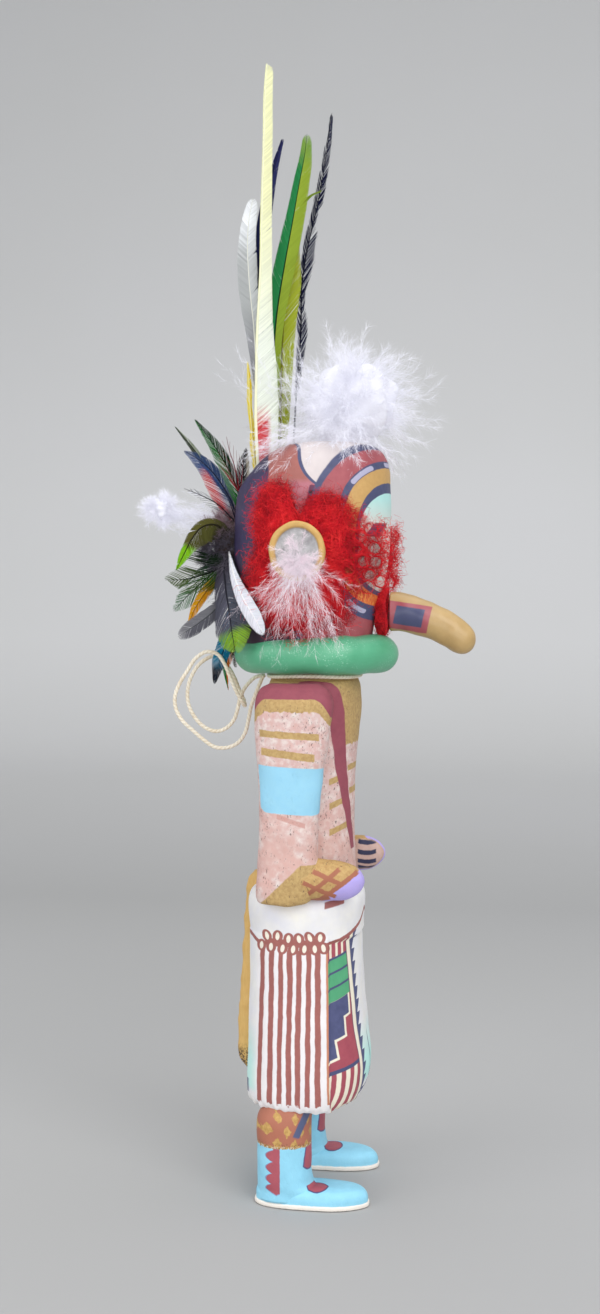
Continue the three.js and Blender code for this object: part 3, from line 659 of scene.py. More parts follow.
def kiltPaint():
    paint = Paint("kiltPaint", 0.62)
    place = paint.place()
    x, y, z = paint.axes(place, 0.14, 2.4)
    across = paint.attribute("across") + paint.noise(place, 2.6, 2.0) * 0.3 - 0.15
    onRight = x.below(0.0, 0.4)
    navy = (0.28, 0.30, 0.45)
    cream = (0.93, 0.90, 0.82)
    cloud = paint.noise(place, 9.0, 3.0)
    white = paint.mix(cloud.above(0.5, 0.5), (0.94, 0.93, 0.90), (0.89, 0.89, 0.92))
    colour = white
    # the embroidered panel lies beside the fringe: u runs from the doll's front middle round to its right
    u = across * -1.0
    lean = u + (z - 76.0) * -0.055
    panel = lean.above(15.2, 0.3) * u.below(31.0) * onRight
    red = paint.mix(paint.noise(place, 3.0, 4.0), (0.58, 0.24, 0.31), (0.70, 0.34, 0.38))
    lowLines = paint.mix((u - 24.75).repeat(2.0).below(1.0, 0.3), red, cream)
    highLines = paint.mix((u - 23.7).repeat(1.3).below(0.5, 0.25), red, cream)
    level = z + (u - 15.0) * 0.28          # the panel's bands sink towards the fringe
    green = paint.mix(paint.noise(place, 3.0, 3.0), (0.28, 0.61, 0.44), (0.36, 0.68, 0.49))
    block = paint.mix(level.above(kilt["greenLow"], 0.25), red, green)
    for line in kilt["greenLines"]:
        block = paint.mix(abs(level - line).below(0.42, 0.2), block, navy)
    # the stepped navy block with its cream edge
    stair = paint.number(0.0)
    edge = paint.number(0.0)
    for reach, low in kilt["steps"]:
        stair = stair | (u.above(reach + 0.45, 0.2) * level.above(low + 0.45, 0.2))
        edge = edge | (u.above(reach - 0.45, 0.2) * level.above(low - 0.45, 0.2))
    under = level.below(kilt["greenLow"])
    block = paint.mix(edge * under, block, cream)
    deep = paint.mix(paint.noise(place, 2.2, 4.0), (0.24, 0.26, 0.41), (0.35, 0.37, 0.53))
    block = paint.mix(stair * under, block, deep)
    block = paint.mix(level.above(kilt["greenLines"][0] + 0.4, 0.2), block, highLines)
    border = z + (u - 15.0) * 0.19
    block = paint.mix(border.below(51.6, 0.2), block, navy)
    block = paint.mix(border.below(50.2, 0.2), block, lowLines)
    block = paint.mix(lean.below(15.7, 0.2), block, (0.42, 0.28, 0.36))
    colour = paint.mix(panel, colour, block)
    # the kilt's edge: a cream band, saw teeth flat above and sloped below, and a turquoise wash low down
    wash = z.below(57.0, 14.0) * lean.below(12.0, 1.0) * lean.above(-12.0, 4.0) * z.above(42.0, 2.0)
    colour = paint.mix(wash * 0.85, colour, tints["turquoise"])
    fall = ((kilt["toothHigh"] - z) / kilt["toothPitch"]).math("FRACT")
    width = 3.7 - fall * 2.5
    saw = (lean + width).above(12.9, 0.2) * lean.below(12.9, 0.2) * onRight * z.above(39.0)
    colour = paint.mix(saw, colour, deep)
    colour = paint.mix(lean.between(12.9, 15.2, 0.2) * onRight, colour, cream)
    colour = paint.mix(lean.between(12.7, 13.1, 0.2) * onRight, colour, (0.45, 0.42, 0.50))
    frontHem = (z - 41.0 + u * 0.25).between(-1.0, 0.2, 0.3) * lean.below(12.6) * lean.above(-12.6)
    colour = paint.mix(frontHem, colour, navy)
    colour = paint.mix(lean.between(1.0, 2.1, 0.3) * z.below(58.0, 5.0) * z.above(41.0), colour, navy)
    backWash = y.above(18.0, 4.0) * z.below(58.0, 14.0) * z.above(40.0, 2.0)
    colour = paint.mix(backWash * 0.7, colour, tints["turquoise"])
    colour = paint.mix(y.above(21.0, 1.0) * z.between(38.2, 43.2), colour, navy)
    # the fringed sash: brown lines under two rows of rings
    frontEdge = y - kilt["fringeFront"] - (z - 91.0) * 0.014
    hang = onRight * frontEdge.above(0.0, 0.2) * y.below(17.4, 0.4) * z.below(98.0)
    fringe = paint.mix(cloud * 0.5, (0.93, 0.91, 0.90), (0.88, 0.88, 0.92))
    brown = paint.mix(paint.noise(place, 1.6, 4.0), (0.57, 0.33, 0.31), (0.67, 0.41, 0.38))
    ink = paint.number(0.0)
    wobble = paint.noise(place, 9.0, 2.0) * 1.1 - 0.55
    for i, (top, hem) in enumerate(kilt["stripes"]):
        slope = (hem - top) / 54.0
        spot = y + z * slope - (top + 91.0 * slope)
        ink = ink | abs(spot + wobble).below(0.98 + 0.07 * math.sin(i * 2.3), 0.25)
    ink = ink * z.below(92.4) * (z + paint.noise(place, 1.4, 1.0) * 3.0).above(38.6, 0.5)
    fringe = paint.mix(ink, fringe, brown)
    fringe = paint.mix(frontEdge.below(0.75, 0.3) * z.above(37.6), fringe, (0.76, 0.50, 0.38))
    colour = paint.mix(hang, colour, fringe)
    # the white sash above, whose lower edge sweeps up to the front
    inward = (27.3 - abs(across)).math("MAXIMUM", 0.0)
    sweep = inward * 0.215 + inward * inward * 0.0048 + (y - 16.8).math("MAXIMUM", 0.0).least(3.2) * 0.5
    edgeHeight = z - sweep - 94.1
    colour = paint.mix(edgeHeight.above(0.0), colour, white)
    bare = y.between(-7.4, 16.0) * onRight
    sashEdge = (edgeHeight + paint.noise(place, 1.2, 2.0) * 0.6 - 0.3).between(-0.8, 0.8) * (1.0 - bare)
    colour = paint.mix(sashEdge, colour, brown)
    band = paint.number(0.0)
    holes = paint.number(0.0)
    for middle, height, tilt in kilt["rings"]:
        band = band | ring(y, z, middle, height, tilt).below(1.96, 0.2)
        holes = holes | ring(y, z, middle, height, tilt, 1.6).below(1.24, 0.2)
    filled = z.between(93.4, 96.2) * y.between(-7.4, 14.0)
    colour = paint.mix((band | filled) * onRight, colour, brown)
    colour = paint.mix(holes * onRight, colour, (0.93, 0.90, 0.84))
    # painted shade: brown patches on the sash just under the forearm and the elbow, where they rest on it
    shadeUnderArm = z.between(108.6, 111.0, 0.4) * y.between(13.6, 17.2)
    shadeUnderArm = shadeUnderArm | ((z + y * 0.2).between(105.6, 108.0, 0.4) * y.between(-14.4, -8.0))
    colour = paint.mix(shadeUnderArm * onRight, colour, brown)
    colour, height = carvedWear(paint, place, colour, 0.74)
    return paint.finish(colour, None, height - (band * onRight) * 0.5, 0.25)


def peltPaint():
    paint = Paint("peltPaint", 0.7)
    place = paint.place()
    x, y, z = paint.axes(place, 0.3, 3.0)
    fur = paint.noise(place, 0.7, 3.0, (1, 1, 6))
    colour = paint.mix(fur, (0.80, 0.62, 0.33), (0.87, 0.73, 0.46))
    tip = z.below(50.0, 5.0)
    speckle = paint.noise(place, 0.8, 2.0).above(0.5, 0.1)
    colour = paint.mix(tip * speckle, colour, (0.24, 0.18, 0.15))
    colour, height = carvedWear(paint, place, colour, 0.68)
    return paint.finish(colour, None, height + fur * 0.6, 0.5)


def makeKilt():
    points = columnPoints(kilt["rows"], 190, 400, kilt["square"])
    normal = surfaceNormals(points)
    y, z = points[..., 1], points[..., 2]

    def soft(value, width):
        return np.clip(value / width + 0.5, 0, 1)
    onRight = soft(-points[..., 0], 0.5)
    fringe = (onRight * soft(y - kilt["fringeFront"] - (z - 91.0) * 0.014, 0.5)
              * soft(kilt["fringeBack"] - y, 0.6)
              * soft(kilt["sashLow"] + 2.0 - z, 0.8))
    sash = soft(z - kilt["sashLow"], 1.0)
    proud = np.maximum(fringe * kilt["fringeProud"], sash * kilt["sashProud"])
    grooves = np.zeros_like(y)
    for top, hem in kilt["stripes"]:
        middle = top + (hem - top) * (91.0 - z) / 54.0
        grooves = np.maximum(grooves, np.exp(-((y - middle) / 0.8) ** 2))
    proud = proud - fringe * grooves * 0.16 * soft(92.0 - z, 2.0)
    ragged = ripple(points * (1, 1, 0), 2.2, 5) * 0.5 * soft(37.5 - z, 3.0)
    points = points + normal * (proud + ripple(points, 14.0, 3) * 0.16)[..., None]
    points[..., 2] += ragged + (y - 4.0) * 0.03 * soft(39.0 - z, 6.0)
    across = roundFront(points)
    dress(closedGrid("kilt_carved", points, {"across": across}), kiltPaint(), "painted_cottonwood", "figure")
    back = kilt["rows"][6][3] + 3.0
    rows = [(40.8, 2.1, 0, back - 1.5), (43.6, 4.8, 0, back + 1.6), (60, 6, 0, back + 3.2),
            (75, 6, 0, back + 2.2),
            (103, 4.8, 0, back + 0.6), (112, 4.4, 0, back - 0.2), (116, 3.4, 0, back - 2.6)]
    pelt = columnPoints(rows, 120, 90, 3.0)
    pelt += surfaceNormals(pelt) * (ripple(pelt, 6.0, 8) * 0.25)[..., None]
    dress(closedGrid("pelt_carved", pelt), peltPaint(), "painted_cottonwood", "figure")


makeKilt()
print("kilt, sash and pelt")


# Torso and arms

torsoRows = [(107, 19.5, 17.2, 17), (132, 18, 15.8, 15.8), (154, 19, 16.2, 15.8), (166, 21, 17.2, 16),
             (179, 23.6, 18.4, 16.6), (186.4, 23.4, 17.9, 15.8), (188, 21.6, 17.4, 15.2),
             (188.6, 19.2, 17.2, 15), (198, 19, 17, 14.6)]

arm = {
    "out": 26.2, "half": 6.8, "elbow": 118.0, "shoulder": 188.0,
    "right": (-22.3, -1.0), "left": (-25.4, 2.6),     # fingertips: how far back, and above the elbow
    "stripes": ((169.9, 1.2, -0.06, -7.0, 14.4), (162.9, 1.35, -0.12, -5.4, 13.8)),
    "band": (141.9, 158.6),
    "mark": (139.5, 0.34),
    # the netting's strokes on the forearm, from one end to the other as (y, z)
    "strokes": (((-4.6, 121.9), (-15.0, 117.1)), ((-13.9, 122.4), (-1.1, 112.1)),
                ((-1.2, 118.0), (-12.5, 112.6)),
                ((-20.0, 121.2), (-6.5, 111.0)), ((0.6, 118.4), (2.4, 117.2)), ((-10.4, 112.2), (-3.0, 110.6))),
    "bars": (124.9, 121.1, 117.6, 114.9),
}


def skinPaint(name, isArm):
    paint = Paint(name, 0.72)
    place = paint.place()
    x, y, z = paint.axes(place, 0.28, 2.4)
    out = abs(x)
    cloud = paint.noise(place, 6.0, 4.0)
    wash = paint.noise(place, 2.2, 5.0)
    colour = paint.mix(cloud.above(0.5, 0.3), (0.86, 0.78, 0.76), (0.83, 0.69, 0.67))
    colour = paint.mix(wash.above(0.56, 0.16) * 0.6, colour, (0.82, 0.64, 0.60))
    colour = paint.mix(wash.below(0.42, 0.12) * 0.6, colour, (0.91, 0.87, 0.84))
    colour = paint.mix(z.below(142.0, 26.0) * cloud.above(0.44, 0.2) * 0.7, colour, (0.82, 0.66, 0.62))
    tan = paint.mix(paint.noise(place, 1.2, 5.0).above(0.5, 0.3), (0.77, 0.65, 0.43), (0.69, 0.56, 0.36))
    maroon = paint.mix(paint.noise(place, 2.4, 4.0), (0.54, 0.26, 0.32), (0.63, 0.32, 0.37))
    flecked, height = carvedWear(paint, place, colour, 0.54)
    tanFlecked, _ = carvedWear(paint, place, tan, 0.56)
    if isArm:
        ragged = paint.noise(place, 1.6, 3.0) * 3.0 - 1.5
        # the shoulder's arch, flat over the top and falling at both sides
        side = abs(y - 3.4)
        inner = (side - 8.5).math("MAXIMUM", 0.0)
        outer = (side - 8.5).math("MAXIMUM", 0.0)
        innerArch = z + inner * inner * 0.2
        outerArch = z + outer * outer * 0.12
        colour = paint.mix((innerArch + ragged * 0.8).above(178.2, 0.3) * z.above(160.0), flecked, tanFlecked)
        colour = paint.mix(innerArch.above(182.7, 0.3) * z.above(160.0), colour, maroon)
        colour = paint.mix(outerArch.above(189.4, 0.3) * z.above(160.0), colour, tanFlecked)
        for level, half, slope, front, back in arm["stripes"]:
            line = (z + (y - 3.0) * slope - level + ragged * 0.16).between(-half, half, 0.25) \
                * y.between(front, back)
            colour = paint.mix(line * out.above(26.0, 1.0), colour, tan)
        mark = (z - (y - 3.0) * arm["mark"][1] - arm["mark"][0]).between(-0.9, 0.9, 0.4) \
            * y.between(-2.0, 8.0)
        colour = paint.mix(mark * 0.8 * out.above(27.0, 1.0), colour, (0.79, 0.59, 0.55))
        low, high = arm["band"]
        corner = (side - 8.4).math("MAXIMUM", 0.0)
        band = (z - (y - 3.0) * 0.05 - corner * corner * 0.30).above(low, 0.25) \
            * (z - (y - 3.0) * 0.055).below(high, 0.25) * (y - (z - 150.0) * 0.07).below(14.6, 0.3)
        sky = paint.mix(paint.noise(place, 3.0, 3.0), (0.62, 0.83, 0.91), (0.57, 0.80, 0.91))
        colour = paint.mix(band, colour, sky)
        netted = (z + y * 0.964).below(110.3 + 13.8 * 0.964, 0.6) * z.below(124.0)
        colour = paint.mix(netted, colour, tanFlecked)
    else:
        # the bandolier's line runs from the shoulder down to the middle of the waist
        fall = z.math("MULTIPLY_ADD", -1 / 62.0, 187.0 / 62.0, clamp=True)
        centre = 22.0 - fall * 18.6
        width = 2.7 - fall * 0.5
        ahead = centre - out                   # how far in front of the line
        ragged = paint.noise(place, 1.6, 3.0) * 2.4 - 1.2
        chest = (z + ragged + y * 0.2).above(162.0, 0.5) * ahead.above(0.0, 0.5) * y.below(0.0, 1.0)
        colour = paint.mix(chest | z.above(184.6, 0.6), flecked, tanFlecked)
        for level in (153.1, 144.2, 134.7):
            stripe = (z + y * 0.42 - level + 5.1).between(-1.15, 1.15, 0.25) \
                * y.between(-15.6, -8.6) * ahead.below(0.0)
            colour = paint.mix(stripe, colour, tan)
        for level in (157.0, 148.3):
            stripe = (z + y * 0.3 - level + 5.1).between(-1.15, 1.15, 0.25) \
                * ahead.above(3.0) * y.below(-12.0)
            colour = paint.mix(stripe, colour, tan)
        line = (abs(ahead) / width).below(1.0, 0.12) * y.below(2.0, 1.0)
        colour = paint.mix(line * z.above(126.0), colour, maroon)
    return paint.finish(colour, None, height, 0.5)


def forearmPaint(name, tip):
    # tan and netted behind, a lavender hand in front, on the side that faces out
    paint = Paint(name, 0.66)
    place = paint.place()
    x, y, z = paint.axes(place, 0.24, 1.8)
    reach, rise = tip
    bend = (rise - arm["right"][1]) / reach
    level = z - y * bend
    pink = paint.mix(paint.noise(place, 3.0, 5.0), (0.90, 0.80, 0.77), (0.82, 0.66, 0.63))
    tan = paint.mix(paint.noise(place, 1.4, 4.0).above(0.5, 0.3), (0.78, 0.65, 0.42), (0.71, 0.56, 0.35))
    colour, height = carvedWear(paint, place, pink, 0.54)
    tan, _ = carvedWear(paint, place, tan, 0.57)
    colour = paint.mix((level + y * 0.964).below(110.3 + 13.8 * 0.964, 0.6), colour, tan)
    # the lavender hand starts at a slanting line, and runs back along the top edge
    curve = (y + 11.7).math("MINIMUM", 0.0)
    hand = (level + y * 0.752).below(111.0 - 6.5 * 0.752, 0.3) * (y + level * 1.0).below(107.6, 0.4)
    rim = (level + curve * curve * 0.06).above(125.9, 0.3) * y.below(-11.0)
    lavender = paint.mix(paint.noise(place, 2.4, 4.0), (0.74, 0.66, 0.90), (0.70, 0.67, 0.93))
    strokes = paint.number(0.0)
    ragged = paint.noise(place, 1.0, 3.0) * 0.7 - 0.35
    for start, end in arm["strokes"]:
        strokes = strokes | stroke(y, level + ragged, start, end, 0.82)
    outside = abs(x).above(20.8, 1.0)
    colour = paint.mix((hand | rim) * outside, colour, lavender)
    colour = paint.mix(strokes * outside, colour, (0.65, 0.40, 0.30))
    # the palm's side: pinkish, with arched dark bars below a tan rim
    inner = abs(x).below(20.4, 1.0) * y.below(-12.4, 0.6)
    palm = paint.mix(paint.noise(place, 1.6, 3.0), (0.82, 0.70, 0.67), (0.72, 0.60, 0.55))
    arched = z - (y + 18.6) * (y + 18.6) * 0.05
    bars = paint.number(0.0)
    for bar in arm["bars"]:
        bars = bars | (arched + 0.6 - bar).between(-0.85, 0.85, 0.3)
    colour = paint.mix(inner, colour, palm)
    colour = paint.mix(inner * z.above(126.2, 0.4), colour, tan)
    colour = paint.mix(inner * bars * y.between(-22.3, -15.2, 0.4), colour, (0.17, 0.18, 0.30))
    return paint.finish(colour, None, height, 0.5)


def makeBody():
    points = columnPoints(torsoRows, 110, 140, 2.2)
    points += surfaceNormals(points) * (ripple(points, 12.0, 21) * 0.18)[..., None]
    dress(closedGrid("torso_carved", points), skinPaint("torsoPaint", False), "painted_cottonwood", "figure")
    armPaint = skinPaint("armPaint", True)
    half, elbow = arm["half"], arm["elbow"]
    long = arm["shoulder"] - elbow
    for name, side in (("right", -1), ("left", 1)):
        rows = [(elbow - 9, half - 2.6, -2, 13), (elbow - 7.6, half - 0.8, 3, 16),
                (elbow - 2, half - 0.2, 6, 16.4),
                (elbow + long * 0.14, half - 0.4, 5.8, 15.6), (elbow + long * 0.57, half, 8, 15.9),
                (elbow + long * 0.77, half + 0.4, 10.4, 17), (182, half + 0.2, 11.4, 16.6),
                (186, half - 1.6, 9.6, 15), (188, half - 3.8, 6, 12)]
        points = columnPoints(rows, 100, 100, 2.5, side * arm["out"])
        points += surfaceNormals(points) * (ripple(points, 9.0, 31 + side) * 0.2)[..., None]
        dress(closedGrid("arm_" + name, points), armPaint, "painted_cottonwood", "figure")
        reach, rise = arm[name]
        route = [(side * 26.2, 12, elbow), (side * 25.8, -2, elbow + 0.2),
                 (side * 23.8, reach / 2 - 3, elbow + rise * 0.6), (side * 21.6, reach, elbow + rise)]
        path = smoothRows(route, 90)
        along = np.linspace(0, 1, 90)
        taper = np.sqrt(np.clip(1 - (np.maximum(0, along - 0.72) / 0.2805) ** 2, 0, 1))
        butt = np.sqrt(np.clip(1 - (np.maximum(0, 0.12 - along) / 0.121) ** 2, 0, 1))
        points = carried(path, np.array([0.0, 0.0, 1.0]), (6.6 - along) * taper * butt,
                         (8.2 - 1.6 * along) * taper * butt, 90)
        points += surfaceNormals(points) * (ripple(points, 7.0, 41 + side) * 0.2)[..., None]
        paint = forearmPaint("forearmPaint_" + name, arm[name])
        dress(closedGrid("forearm_" + name, points), paint, "painted_cottonwood", "figure")


makeBody()
print("torso and arms")


# Ruff

ruff = {"middle": 198.0, "round": 7.0, "half": 29.0, "front": 32.3, "back": 29.0}


def makeRuff():
    turn = np.linspace(-0.5, 0.5, 60) * math.pi * 0.96
    inset = ruff["round"] * (1 - np.cos(turn))
    height = ruff["middle"] + ruff["round"] * np.sin(turn)
    rows = np.stack([height, ruff["half"] - inset, ruff["front"] - inset, ruff["back"] - inset], 1)
    points = columnPoints(rows, 60, 260, 2.0)
    points += surfaceNormals(points) * (ripple(points, 11.0, 51) * 0.22)[..., None]
    paint = Paint("ruffPaint", 0.42, Coat_Weight=0.25, Coat_Roughness=0.25)
    place = paint.place()
    cloud = paint.noise(place, 7.0, 4.0)
    colour = paint.mix(cloud, (0.29, 0.64, 0.47), (0.38, 0.71, 0.55))
    brush = paint.noise(place, 0.9, 3.0, (4, 4, 1))
    colour = paint.shade(colour, brush * 0.12 + 0.94)
    grain = paint.noise(place, 0.5, 2.0)
    # small bumps in the paint, each given a pale painted highlight as a glint; they also lower the roughness
    # and lift the bump
    bumpAndGlint = grain.above(0.64, 0.06) * cloud.above(0.54, 0.08)
    colour = paint.mix(bumpAndGlint * 0.6, colour, (0.74, 0.92, 0.82))
    rough = grain * 0.16 + 0.32 - bumpAndGlint * 0.12
    material = paint.finish(colour, rough, brush * 0.4 + bumpAndGlint * 1.2 + cloud * 0.8, 0.4)
    dress(closedGrid("ruff_carved", points), material, "painted_cottonwood", "figure")


makeRuff()
print("ruff")


# Helmet mask

mask = {
    "rows": [(202, 25, 22.4, 27.4), (212, 26, 24.0, 28.2), (222, 26.8, 26.6, 28.6), (234, 27.2, 28.7, 28.8),
             (250, 27.2, 29.3, 28.5), (260, 26.6, 29.3, 26.8), (266, 25, 29, 22.6), (270.5, 22.6, 27.8, 18.2),
             (273.6, 19.4, 25.6, 13.8), (275.4, 15.6, 22, 9), (276.2, 10.5, 16, 3.5)],
    "faceMiddle": 238.5,     # height of the middle of the painted rings
}


def maskPaint():
    paint = Paint("maskPaint", 0.55)
    place = paint.place()
    x, y, z = paint.axes(place, 0.2, 3.0)
    u = abs(paint.attribute("across")) + paint.noise(place, 3.0, 2.0) * 0.3 - 0.15
    high = (z - mask["faceMiddle"]).math("MAXIMUM", 0.0)
    low = (mask["faceMiddle"] - z).math("MAXIMUM", 0.0)
    power = 2.8

    def far(reach, up, down):
        # 1 on an oval round the face that reaches so far to the side, up and down
        return ((u / reach) ** power + (high / up) ** power + (low / down) ** power) ** (1 / power)

    def inside(reach, up, down):
        return far(reach, up, down).below(1.0, 0.01)
    navy = paint.mix(paint.noise(place, 2.4, 4.0), (0.22, 0.24, 0.37), (0.33, 0.35, 0.49))
    purple = paint.mix(paint.noise(place, 4.0, 4.0), (0.16, 0.12, 0.22), (0.24, 0.22, 0.38))
    colour = paint.mix((z - 250.0).above(0.0, 14.0),
                       paint.mix(z.below(232.0, 10.0), purple, (0.20, 0.12, 0.19)), purple)
    # behind the face: a brownish red field, and a pale wedge beside the outer ring
    brownish = paint.mix(paint.noise(place, 3.0, 4.0), (0.58, 0.34, 0.31), (0.68, 0.42, 0.39))
    mauve = paint.mix(paint.noise(place, 2.0, 4.0), (0.66, 0.38, 0.43), (0.76, 0.50, 0.54))
    colour = paint.mix(u.below(58.0, 0.8) * z.above(238.0, 3.0), colour, brownish)
    colour = paint.mix(u.below(49.0, 3.0) * z.between(240.0, 260.5, 2.0), colour, mauve)
    wedgeEdge = u + (z - 266.5) * (z - 266.5) * 0.09
    colour = paint.mix(wedgeEdge.below(45.0, 0.3) * z.above(257.0, 1.0), colour, navy)
    pale = paint.mix(paint.noise(place, 3.0, 4.0), (0.80, 0.76, 0.76), (0.85, 0.81, 0.80))
    colour = paint.mix(wedgeEdge.below(43.6, 0.3) * z.above(257.0, 1.0), colour, pale)
    # small dark marks down the seam below the wedge
    seam = abs(u + (z - 258.0) * 0.32 - 41.0)
    colour = paint.mix(seam.below(1.3, 0.4) * z.between(244.0, 259.0), colour, (0.40, 0.20, 0.32))
    colour = paint.mix(seam.below(0.9, 0.3) * z.repeat(0.95).below(0.55, 0.2) * z.between(244.0, 257.6), colour,
                       (0.10, 0.09, 0.16))
    colour = paint.mix(inside(43.4, 36.6, 60.0), colour, navy)
    maroon = paint.mix(paint.noise(place, 2.4, 4.0), (0.60, 0.27, 0.31), (0.70, 0.37, 0.39))
    colour = paint.mix(inside(41.3, 34.6, 58.0), colour, maroon)
    colour = paint.mix(inside(33.4, 30.4, 28.2), colour, navy)
    # greyish lavender dashes with rounded ends run round in the navy ring
    turned = (z - mask["faceMiddle"]).math("ARCTAN2", u * 0.92)
    past = ((turned - math.radians(51.2)).repeat(math.radians(17.3)) - 0.150).math("MAXIMUM", 0.0) * 30.0
    beside = (far(32.0, 29.1, 25.8) - 1.0) * 30.0
    dash = (past * past + beside * beside).sqrt().below(0.85, 0.2)
    colour = paint.mix(dash, colour, (0.70, 0.69, 0.79))
    gold = paint.mix(paint.noise(place, 1.4, 4.0), (0.82, 0.66, 0.41), (0.74, 0.58, 0.34))
    hair = paint.noise(place, 0.45, 3.0, (1, 1, 7))
    flame = paint.mix(hair.above(0.5, 0.12), (0.92, 0.60, 0.30), (0.84, 0.30, 0.16))
    gold = paint.mix(z.below(224.0, 5.0), gold, flame)
    colour = paint.mix(inside(31.0, 27.9, 23.0), colour, gold)
    colour = paint.mix(inside(25.3, 22.5, 19.2), colour, navy)
    inner = paint.mix(z.below(250.0, 10.0), (0.71, 0.90, 0.88), (0.84, 0.85, 0.82))
    colour = paint.mix(inside(23.8, 18.7, 17.6), colour, inner)
    lid = u + (z - 243.5) * 1.1
    colour = paint.mix(lid.between(8.8, 18.2, 0.3) * z.between(240.8, 246.0, 0.3), colour, maroon)
    colour = paint.mix(lid.between(11.0, 18.8, 0.3) * z.between(241.2, 245.4, 0.3), colour, (0.28, 0.25, 0.38))
    colour, height = carvedWear(paint, place, colour, 0.72)
    return paint.finish(colour, None, height, 0.3)


def makeMask():
    points = columnPoints(mask["rows"], 120, 260, 2.2)
    points += surfaceNormals(points) * (ripple(points, 15.0, 61) * 0.2)[..., None]
    dress(closedGrid("mask_carved", points, {"across": roundFront(points)}), maskPaint(),
          "painted_cottonwood", "figure")


makeMask()
print("mask")


# Snout and its yarn

snout = {"front": -24.4, "root": -31.0, "height": 213.6, "yarn": 1.7}


def snoutPaint():
    paint = Paint("snoutPaint", 0.38, Coat_Weight=0.2, Coat_Roughness=0.3)
    place = paint.place()
    x, y, z = paint.axes(place, 0.16, 2.4)
    cloud = paint.noise(place, 5.0, 4.0)
    colour = paint.mix(cloud, (0.69, 0.56, 0.35), (0.76, 0.64, 0.43))
    # the oblong on each side, with the level taken from the snout's own middle line
    level = z - 213.4 - (y + 28.0) * 0.155
    tilt = y + level * 0.22
    frame = tilt.above(-44.3, 0.3) * level.between(-5.6, 4.7, 0.3) * abs(x).above(2.4, 0.4)
    core = tilt.between(-42.0, -31.6, 0.3) * level.between(-3.7, 3.2, 0.3) * abs(x).above(3.4, 0.4)
    colour = paint.mix(frame, colour, (0.64, 0.30, 0.34))
    colour = paint.mix(core, colour, tints["navy"])
    colour, height = carvedWear(paint, place, colour, 0.74)
    return paint.finish(colour, None, height, 0.22)


def makeSnout():
    start = snout["root"]
    height = snout["height"]
    route = [(0, start + 2.2, height), (0, start - 2.4, height - 0.1), (0, start - 8, height - 1.6),
             (0, start - 15.2, height - 4.2), (0, start - 21.8, height - 8), (0, start - 28.8, height - 14)]
    path = smoothRows(route, 170)
    along = np.linspace(0, 1, 170)
    nose = np.sqrt(np.clip(1 - (np.maximum(0, along - 0.8) / 0.2005) ** 2, 0, 1))
    butt = np.sqrt(np.clip(1 - (np.maximum(0, 0.03 - along) / 0.034) ** 2, 0, 1))
    points = carried(path, np.array([0.0, 0.0, 1.0]), (6.6 - 1.4 * along) * nose * butt,
                     (7.4 - 1.9 * along) * nose * butt, 160)
    points += surfaceNormals(points) * (ripple(points, 9.0, 71) * 0.15)[..., None]
    dress(closedGrid("snout_carved", points), snoutPaint(), "tan_painted_wood", "snout")


makeSnout()
print("snout")


# Narrow strips: feather barbs, down and wool are all made of them

def ribbonPart(paths, sides, half, values):
    # paths is strips by points by 3, sides the way each point's width lies, half its half width
    spread = sides * np.broadcast_to(half, paths.shape[:2])[..., None]
    points = np.stack([paths - spread, paths + spread], 2)
    strips, steps = paths.shape[:2]
    index = np.arange(strips * steps * 2).reshape(strips, steps, 2)
    faces = np.stack([index[:, :-1, 0], index[:, :-1, 1], index[:, 1:, 1], index[:, 1:, 0]], -1).reshape(-1, 4)
    flat = {key: np.repeat(np.broadcast_to(grid, (strips, steps)).ravel(), 2) for key, grid in values.items()}
    return points.reshape(-1, 3), faces, flat


def joined(name, parts):
    # parts of (points, faces, values) with the same values, as one mesh
    starts = np.cumsum([0] + [len(part[0]) for part in parts])
    points = np.concatenate([part[0] for part in parts])
    faces = np.concatenate([part[1] + start for part, start in zip(parts, starts)])
    values = {key: np.concatenate([part[2][key] for part in parts]) for key in parts[0][2]}
    return makeMesh(name, points, faces, values)


def wander(rng, starts, aims, lengths, steps, curl, droop=0.0, waves=1.3):
    # paths that start at points, aim one way, wave by curl times their length and sink by droop times it
    share = np.linspace(0, 1, steps)
    count = len(starts)
    paths = starts[:, None] + aims[:, None] * (lengths[:, None] * share)[..., None]
    for turns in (waves * 0.6, waves * 1.7):
        sideways = unit(np.cross(aims, rng.normal(size=(count, 3))))
        phase = rng.uniform(0, 2 * math.pi, count)[:, None]
        wave = np.sin(share * turns * 2 * math.pi + phase) - np.sin(phase)
        paths += sideways[:, None] * (wave * curl * 0.5 * lengths[:, None] * share ** 0.7)[..., None]
    paths[..., 2] -= droop * lengths[:, None] * share ** 2
    return paths


def strandPart(rng, paths, thick, values, point=0.25, faces=None):
    # each path as a strip that narrows to its end, turned any way, or mostly flat to the way that faces gives
    tangent = unit(np.gradient(paths, axis=1))
    turned = rng.normal(size=(len(paths), 1, 3))
    if faces is not None:
        turned = np.asarray(faces).reshape(-1, 1, 3) + turned * 0.35
    sides = unit(np.cross(tangent, turned))
    share = np.linspace(0, 1, paths.shape[1])
    half = np.asarray(thick).reshape(-1, 1) * (1 - (1 - point) * share ** 1.5)
    return ribbonPart(paths, sides, half, values)


